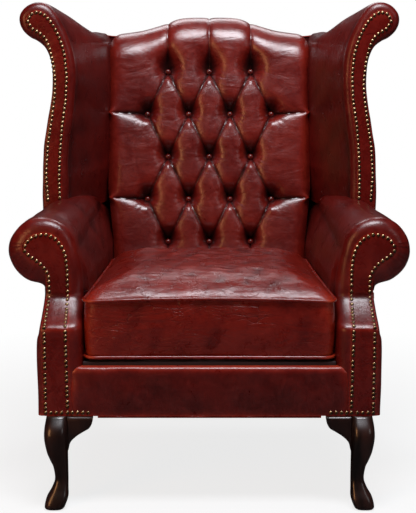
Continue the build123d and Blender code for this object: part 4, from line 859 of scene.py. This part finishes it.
# %% Front border
def rounded_strip(half, low, high, y, swell, corner, rows=46, columns=200):
    """Grid of a stuffed strip: its height is a plain span whose ends drop by a quarter circle. Its depth
    swells in a quarter circle near every edge, and a little more half way up."""
    u = np.linspace(-1, 1, columns)[None, :]
    v = np.linspace(0, 1, rows)[:, None]
    x = u * half + 0 * v
    over = np.clip(np.abs(x) - (half - corner), 0, corner)
    top = high - corner + np.sqrt(np.maximum(corner ** 2 - over ** 2, 0))
    z = low + (top - low) * v
    near = np.clip(np.minimum(half - np.abs(x), top - z) / 15, 0, 1)
    rise = np.sqrt(np.clip(1 - (1 - near) ** 2, 0, 1))
    bulge = 0.5 - 0.5 * np.cos(2 * np.pi * v)
    depth = y - swell * rise - 2.0 * bulge * rise
    grid = xyz(x, depth, z)
    rim = grid[-1:] * [1, 0, 1] + np.array([0, y + 12.0, 0])
    return np.concatenate([grid, rim])


border_grid = rounded_strip(half=291.5, low=195.2, high=300.0, y=FRONT + 7.0, swell=7.5, corner=20.0)
border_grid = uneven(border_grid, 0.8, 60, 31)
border = skin("front_border_leather", border_grid, 5.0, (0, 0, 250), hide, "chair", ["front_border"],
              rounds=22, full=3.2)
print("border", border_grid.shape)


# %% Tubes along a closed or open line
def tube(line, radius, around=10, ring=True):
    """Rings of points round a line: at each point two directions at right angles to its step carry a
    circle."""
    step = np.roll(line, -1, axis=0) - np.roll(line, 1, axis=0) if ring else np.gradient(line, axis=0)
    step = step / np.linalg.norm(step, axis=1, keepdims=True)
    up = np.array([0.0, 0.0, 1.0])
    out = np.cross(step, up)
    out = out / np.linalg.norm(out, axis=1, keepdims=True)
    rise = np.cross(out, step)
    b = circle(around)[..., None]
    rings = line[:, None] + radius * (np.cos(b) * out[:, None] + np.sin(b) * rise[:, None])
    return np.concatenate([rings, rings[:1]]) if ring else rings


WELT_RADIUS, WELT_Z, WELT_INSET = 2.6, 192.6, 5.4
welt_x = np.linspace(-234, 234, 90)
welt_line = xyz(welt_x, FRONT + WELT_RADIUS, WELT_Z)
pieces_of_welt = [tube(welt_line, WELT_RADIUS, ring=False)]
side_y = np.linspace(-235, 225, 70)
for sign in (-1, 1):
    line = xyz(sign * (side(side_y) - WELT_INSET), side_y, WELT_Z)
    pieces_of_welt.append(tube(line, WELT_RADIUS, ring=False))
closed("base_welt_leather", pieces_of_welt, trim_hide, "chair", ["base_welt"], rounds=3, full=1.5)
print("welt runs", len(pieces_of_welt))


# %% Outside back
def blended_sheet(bottom, top, edge, rows, columns):
    """Points between four edges, mirrored across the middle: the blend of the bottom and top edges, plus
    the blend of the side edges, less the blend of the corners."""
    u = np.linspace(-1, 1, columns)[None, :, None]
    v = np.linspace(0, 1, rows)[:, None, None]
    right = edge[:, None]
    left = right * np.array([-1, 1])
    share = (u + 1) / 2
    low, high = bottom[None], top[None]
    corners = ((1 - v) * ((1 - share) * low[:, :1] + share * low[:, -1:])
               + v * ((1 - share) * high[:, :1] + share * high[:, -1:]))
    return (1 - v) * low + v * high + (1 - share) * left + share * right - corners


BACK_EDGE = np.array([
    (299.5, 195), (300, 290), (300, 400), (300, 470), (304, 500), (313, 535), (316, 562), (308, 590),
    (300.5, 612), (299, 660), (297, 730), (293, 800), (291.5, 850), (293, 885), (299, 903), (309, 914),
    (312, 930), (307, 943), (298, 948.5),
], float)
TOP_EDGE = np.array([
    (0, 979), (54, 977), (80, 973), (105, 964), (127, 956), (160, 948), (195, 944), (230, 942),
    (262, 946), (285, 949), (298, 948.5),
], float)
TOP_HALF, columns_back, rows_back = 298, 161, 150
half_u = np.linspace(0, 1, 81)
top_right = flow(TOP_EDGE, np.interp(half_u * TOP_HALF, TOP_EDGE[:, 0], np.arange(len(TOP_EDGE))))
top_line = np.vstack([top_right[:0:-1] * np.array([-1, 1]), top_right])
bottom_line = np.stack([np.linspace(-299.5, 299.5, columns_back), np.full(columns_back, 195.0)], axis=1)
edge_line = flow(BACK_EDGE, even(BACK_EDGE, rows_back))
flat = blended_sheet(bottom_line, top_line, edge_line, rows_back, columns_back)
u = np.linspace(-1, 1, columns_back)[None, :]
v = np.linspace(0, 1, rows_back)[:, None]
to_side, to_end = (1 - np.abs(u)) * 300, np.minimum(v, 1 - v) * 700
near = np.clip(np.minimum(to_side, to_end) / 22, 0, 1)
swell = np.sqrt(np.clip(1 - (1 - near) ** 2, 0, 1))
depth = rear(flat[..., 1]) - 4.0 + 4.0 * swell + 1.2 * np.sin(np.pi * v) * np.cos(u * np.pi / 2)
outside = uneven(xyz(flat[..., 0], depth, flat[..., 1]), 0.5, 120, 41)
skin("outside_back_leather", outside, 3.0, (0, 200, 600), hide, "chair", ["outside_back"], rounds=20,
     full=3.5)
print("outside back", outside.shape)

# %% Dust cover
COVER_Y = [-355.6, -325.7, -325.6, 255.0, 255.1, 285.0]
COVER_X = [296.4, 296.4, 315.0, 258.0, 242.0, 242.0]
cover_spans = ((0, 4), (2, 36), (4, 4))
cover_y = np.concatenate([np.linspace(COVER_Y[k], COVER_Y[k + 1], rows) for k, rows in cover_spans])
cover_u = np.linspace(-1, 1, 49)[None, :]
cover_v = np.linspace(-1, 1, len(cover_y))[:, None]
waves = 0.5 * np.sin(9 * cover_u) * (1 - cover_v ** 4) * (1 - cover_u ** 4)
sag = 4.5 * (1 - cover_u ** 2) * (1 - cover_v ** 2) + waves
cover_x = cover_u * np.interp(cover_y, COVER_Y, COVER_X)[:, None]
cover_grid = xyz(cover_x, cover_y[:, None], 194.0 - sag)
dust_cover = skin("dust_cover_cloth", cover_grid, 0.9, (0, 0, 400), dust, "chair", ["dust_cover"],
                  slot="dust_cloth")
print("dust cover", cover_grid.shape, "lowest", round(float(cover_grid[..., 2].min()), 1))

# %% [markdown]
# ## Seat cushion
# A loose feather cushion: a boxed case with a crowned top, sides drawn in between the corners, and
# piping in both seams. Its plan is a rounded trapezium, and rings of that shape shrink towards the
# middle while the crown rises. The leather on top is the softest on the chair and creases most, chiefly
# near the front and the middle. A flat slot in the back of the side holds the zip.

# %% Cushion plan
def cushion_plan(count=240):
    """Outline of the cushion: two front and two back corners joined by sides that draw in by 3, traced
    with arcs at the corners and evenly spaced by length."""
    front, back = -351.9, 96.9
    front_x, back_x = float(seat_side(front)) - 3.0, float(seat_side(back)) - 5.0
    pieces = []
    for x, y, r, start in ((back_x, back, 24, 0), (-back_x, back, 24, 90), (-front_x, front, 24, 180),
                           (front_x, front, 24, 270)):
        a = np.radians(np.linspace(start + 4, start + 86, 12))
        corner = [x - np.sign(x) * r + r * np.cos(a), y - np.sign(y) * r + r * np.sin(a)]
        pieces.append(np.stack(corner, axis=1))
    line = np.vstack(pieces + [pieces[0][:1]])
    fine = np.linspace(0, 1, 40)[:-1, None]
    run = np.vstack([a + (b - a) * fine for a, b in zip(line[:-1], line[1:])])
    length = np.concatenate([[0], np.cumsum(np.linalg.norm(np.diff(run, axis=0), axis=1))])
    spots = np.linspace(0, length[-1], count, endpoint=False)
    plan = np.stack([np.interp(spots, length, run[:, 0]), np.interp(spots, length, run[:, 1])], axis=1)
    middle = np.array([0, (front + back) / 2])
    reach = plan - middle
    slack = 1 - np.clip(np.abs(np.abs(reach[:, 0] / 250) - np.abs(reach[:, 1] / 224)), 0, 1)
    return middle + reach * (1 - 0.011 * (1 - slack ** 2))[:, None], middle


plan, plan_middle = cushion_plan()
plan_out = (plan - plan_middle) / np.linalg.norm(plan - plan_middle, axis=1, keepdims=True)
LOW_SEAM, HIGH_SEAM = 316.8, 436.4


def cushion_ring(scale, z, push=0.0):
    """One ring: the plan scaled about its middle, pushed outwards by a distance, at a height. The ends
    between the arms are pushed least."""
    reach = (plan - plan_middle) * scale
    xy = plan_middle + reach + plan_out * push * (0.3 + 0.7 * plan_out[:, 1:] ** 2)
    return np.concatenate([xy, np.broadcast_to(z, len(plan))[:, None]], axis=1)


def seam_lift(xy):
    """Rise of the top seam in the middle of each side: up to 6 in front, less beside and behind."""
    return 6.0 * np.cos(np.clip(xy[:, 0] / 255, -1, 1) * np.pi / 2) * np.clip(-(xy[:, 1] - 40) / 390, 0.2, 1)


def cushion_grid():
    """Rings from the middle underneath, out to the lower seam, up the boxed side, and in over the crown.
    The side bulges as a sine; the crown is one minus a power of the distance from the middle."""
    rings = []
    for share in np.linspace(0.04, 1, 26):
        z = DECK + 0.4 + (LOW_SEAM - DECK) * share ** 7
        rings.append(cushion_ring(share * 0.985, z))
    lift = seam_lift(plan)
    for share in np.linspace(0.04, 0.96, 34):
        bulge = 9.0 * np.sin(np.pi * share) ** 0.8 - 2.5
        z = LOW_SEAM + (HIGH_SEAM - LOW_SEAM + lift) * share
        rings.append(cushion_ring(1.0, z, bulge))
    for share in np.linspace(1, 0.02, 90):
        puff = np.sqrt(np.clip(1 - ((share - 0.86) / 0.14) ** 2, 0, 1)) if share > 0.86 else 1.0
        crown = 45.0 * (1 - share ** 4) + 6.0 * puff
        z = HIGH_SEAM + lift * share + crown
        rings.append(cushion_ring(share, z, 0.8))
    return np.stack(rings)


rings = cushion_grid()
top_share = np.clip((rings[..., 2] - 440) / 20, 0, 1)
hollow = np.exp(-((rings[..., 0] / 150) ** 2 + ((rings[..., 1] + 80) / 120) ** 2))
crease = (1.5 * ripple(rings * np.array([1.0, 0.55, 1.0]), 46, 51, 9)
          + 0.8 * ripple(rings * np.array([0.7, 1.0, 1.0]), 21, 52, 9))
rings[..., 2] = rings[..., 2] + top_share * (crease * (0.45 + 0.55 * hollow) - 4.0 * hollow)
front_share = np.clip((-300 - rings[..., 1]) / 40, 0, 1) * (1 - top_share)
rings[..., 1] = rings[..., 1] + front_share * 0.9 * ripple(rings * np.array([1.0, 1.0, 0.3]), 60, 53, 9)
slot_half, slot_z, slot_rise, slot_y = 191, 376.6, 11.5, 91.4
in_slot = (np.abs(rings[..., 0]) < slot_half) & (np.abs(rings[..., 2] - slot_z) < slot_rise)
in_slot = in_slot & (rings[..., 1] > 60)
rings[..., 1] = np.where(in_slot, slot_y, rings[..., 1])
# The groove under the top piping is among the folds that the leather darkens as painted shade.
cushion = closed("seat_cushion_leather", [rings], cushion_hide, "seat_cushion",
                 ["cushion_top_panel", "cushion_border", "cushion_bottom_panel", "cushion_core"],
                 slot="cushion_leather", rounds=22, full=4.0, ridge=0.15)
print("cushion rings", rings.shape, "top", round(float(rings[..., 2].max()), 1))

# %% Piping in the seams
PIPING_OUT, PIPING_RADIUS = 2.6, 3.7
for name, z, node in (("top_piping_leather", HIGH_SEAM + seam_lift(plan), "top_piping"),
                      ("bottom_piping_leather", np.full(len(plan), LOW_SEAM), "bottom_piping")):
    xy = plan + plan_out * PIPING_OUT
    rings = tube(np.concatenate([xy, z[:, None]], axis=1), PIPING_RADIUS, around=12)
    faces = grid_quads(len(rings), rings.shape[1], ring=True).tolist()
    make(name, rings, faces, trim_hide, "seat_cushion", [node], slot="cushion_leather", rounds=3, full=1.2)
print("piping done")

# %% Zip tape
tape_x = np.linspace(-190, 190, 96)[None, :]
tape_z = np.linspace(365.3, 387.3, 9)[:, None]
tape_y = 92.6 - 0.25 * np.abs(tape_z - 376.3) / 11
tape_grid = xyz(tape_x, tape_y, tape_z)
zip_tape = skin("zip_tape_cloth", tape_grid, 0.8, (0, 0, 376), tape, "seat_cushion", ["zip_tape"],
                slot="zip_tape")
print("zip tape", tape_grid.shape)

# %% [markdown]
# ## Legs
# The front legs are cabriole: out at the knee, in at the ankle and out again to a pointed pad foot. The
# section is a squarish oval, whose corners come from raising the cosine and sine to a power below one.
# Its four sides are smooth curves up the leg. Small shaped ears carry the knee into the rail.

# %% Front legs
def squarish(low, high, turn, power):
    """Coordinate between two sides: their middle, plus half the way between them times a cosine or sine
    raised to a power, keeping its sign."""
    return (low + high) / 2 + (high - low) / 2 * np.sign(turn) * np.abs(turn) ** power


LEG_SHARES = np.array([
    (0.0, 0.35, 0.88, 0.07, 0.40), (0.012, 0.20, 0.97, 0.02, 0.45), (0.041, 0.12, 1.0, 0.0, 0.47),
    (0.123, 0.0, 0.92, 0.05, 0.55), (0.22, 0.0, 0.70, 0.16, 0.58), (0.32, 0.0, 0.57, 0.24, 0.60),
    (0.45, 0.0, 0.63, 0.22, 0.62), (0.53, 0.0, 0.76, 0.18, 0.64), (0.63, 0.0, 0.90, 0.13, 0.68),
    (0.77, 0.0, 1.0, 0.10, 0.80), (0.88, 0.0, 0.99, 0.16, 0.92), (1.0, 0.0, 0.91, 0.37, 1.0),
])
leg = flow(LEG_SHARES, even(LEG_SHARES[:, :3] * [4, 1, 1], 90))
leg[:, 0] = np.clip(leg[:, 0], 0, 1)
LEG_X, LEG_WIDE, LEG_Y, LEG_DEEP = 297, 49, -412, 86
leg_x, leg_y = LEG_X + LEG_WIDE * leg[:, 1:3], LEG_Y + LEG_DEEP * leg[:, 3:5]
turned = circle(44)
leg_rings = xyz(squarish(leg_x[:, :1], leg_x[:, 1:], np.cos(turned), 0.62),
                squarish(leg_y[:, :1], leg_y[:, 1:], np.sin(turned), 0.62), BASE * leg[:, :1])
for turn, sign in SIDES:
    closed(f"{turn}_cabriole_leg", [on_side(leg_rings, sign)], mahogany, "chair", [f"{turn}_front_leg"],
           slot="leg_mahogany", rounds=10, full=4.0, crisp=70)
print("front legs", leg_rings.shape)

# %% Knee ears
EAR = np.array([
    (0, 120), (5, 138), (17, 151), (32, 161), (44, 168.5), (50, 178), (52.2, 187), (52.6, 194.4),
], float)
SIDE_EAR = np.vstack([[(-34, 110), (-24, 124), (-12, 136), (2, 146)], EAR[2:]])
ears = []
for sign in (-1, 1):
    for kind, shape in (("front", EAR), ("side", SIDE_EAR)):
        ear = flow(shape, even(shape, 46))
        run, low = ear[:, :1], ear[:, 1:]
        thick = 12 * np.clip((195.2 - low) / 9, 0.25, 1) ** 0.5
        wide = squarish(-thick, thick, np.cos(circle(28)), 0.45)
        tall = squarish(low, 194.9, np.sin(circle(28)), 0.45)
        if kind == "front":
            ears.append(xyz(sign * (296.7 - run), -367.9 + wide, tall))
        else:
            ears.append(xyz(sign * (329.6 + wide), -325.7 + run, tall))
closed("knee_ears", ears, mahogany, "chair", ["knee_blocks"], slot="leg_mahogany", rounds=5, full=3.0)
print("knee ears", len(ears))

# %% [markdown]
# ## Studio
# A pale floor that fades to white for the camera but keeps the chair's shadow, one broad lamp above and
# in front, one each side and one behind for the sheen on the seat. The camera stands as it did for the
# photograph: straight ahead, a little above the chair and tilted down, with a long lens.

# %% Floor, lamps and camera
floor_mesh = bpy.data.meshes.new("studio_floor")
floor_mesh.from_pydata([(-9, -9, 0), (9, -9, 0), (9, 9, 0), (-9, 9, 0)], [], [(0, 1, 2, 3)])
put("studio_floor", floor_mesh)
paper, tree, shader, place = new_material("floor_paper")
set_up(shader, Base_Color=(0.66, 0.66, 0.66, 1), Roughness=0.9)
glow = add(tree, "Emission")
path = add(tree, "LightPath")
link(tree, path.outputs["Is Camera Ray"], glow.inputs["Strength"])
away = add(tree, "VectorMath")
away.operation = "LENGTH"
link(tree, place, away.inputs[0])
fade = spread(tree, away.outputs["Value"], 0.5, 1.3, 0.80)
white = combine(tree, "MULTIPLY", fade, path.outputs["Is Camera Ray"])
weight = sum_of(tree, [(white, 1.0), (path.outputs["Is Glossy Ray"], 0.95)])
blend = add(tree, "MixShader")
link(tree, weight, blend.inputs["Fac"])
link(tree, shader.outputs["BSDF"], blend.inputs[1])
link(tree, glow.outputs["Emission"], blend.inputs[2])
link(tree, blend.outputs["Shader"], tree.nodes["Material Output"].inputs["Surface"])
floor_mesh.materials.append(paper)

world = bpy.data.worlds.new("studio")
bpy.context.scene.world = world
world.use_nodes = True
tree = world.node_tree
sky = tree.nodes["Background"]
set_up(sky, Color=(1, 1, 1, 1))
path = add(tree, "LightPath")
seen = sum_of(tree, [(path.outputs["Is Camera Ray"], 0.93), (path.outputs["Is Glossy Ray"], -0.05)])
link(tree, combine(tree, "ADD", seen, 0.07), sky.inputs["Strength"])


def lamp(name, place, aim, width, height, power, colour=(1, 1, 1)):
    """Broad rectangular lamp at a place, turned towards a point."""
    data = bpy.data.lights.new(name, "AREA")
    data.shape = "RECTANGLE"
    data.size, data.size_y = width, height
    data.energy = power
    data.color = colour
    stand = put(name, data)
    way = np.array(aim) - np.array(place)
    stand.location = place
    stand.rotation_euler = Vector(way).to_track_quat("-Z", "Y").to_euler()


lamp("top_lamp", (0.15, -0.85, 2.6), (0, 0.1, 0.6), 1.2, 0.8, 76, (0.92, 0.94, 1.0))
lamp("left_lamp", (-1.7, -2.0, 1.15), (0, 0.1, 0.75), 0.8, 1.5, 20, (1.0, 0.46, 0.19))
lamp("right_lamp", (2.4, -2.4, 1.9), (0, 0, 0.6), 0.9, 1.3, 6)
lamp("rear_lamp", (0.0, 1.9, 2.4), (0, 0, 0.5), 1.7, 0.8, 28, (0.95, 0.96, 1.0))

eye = bpy.data.cameras.new("photo_camera")
eye.lens, eye.sensor_width, eye.sensor_fit = 112.93, 36.0, "AUTO"
camera = put("photo_camera", eye)
camera.location = (-0.003, -3.61, 1.18)
camera.rotation_euler = (radians(78.75), 0, 0)
bpy.context.scene.camera = camera
bpy.context.scene.view_settings.view_transform = "Standard"
print("studio ready")
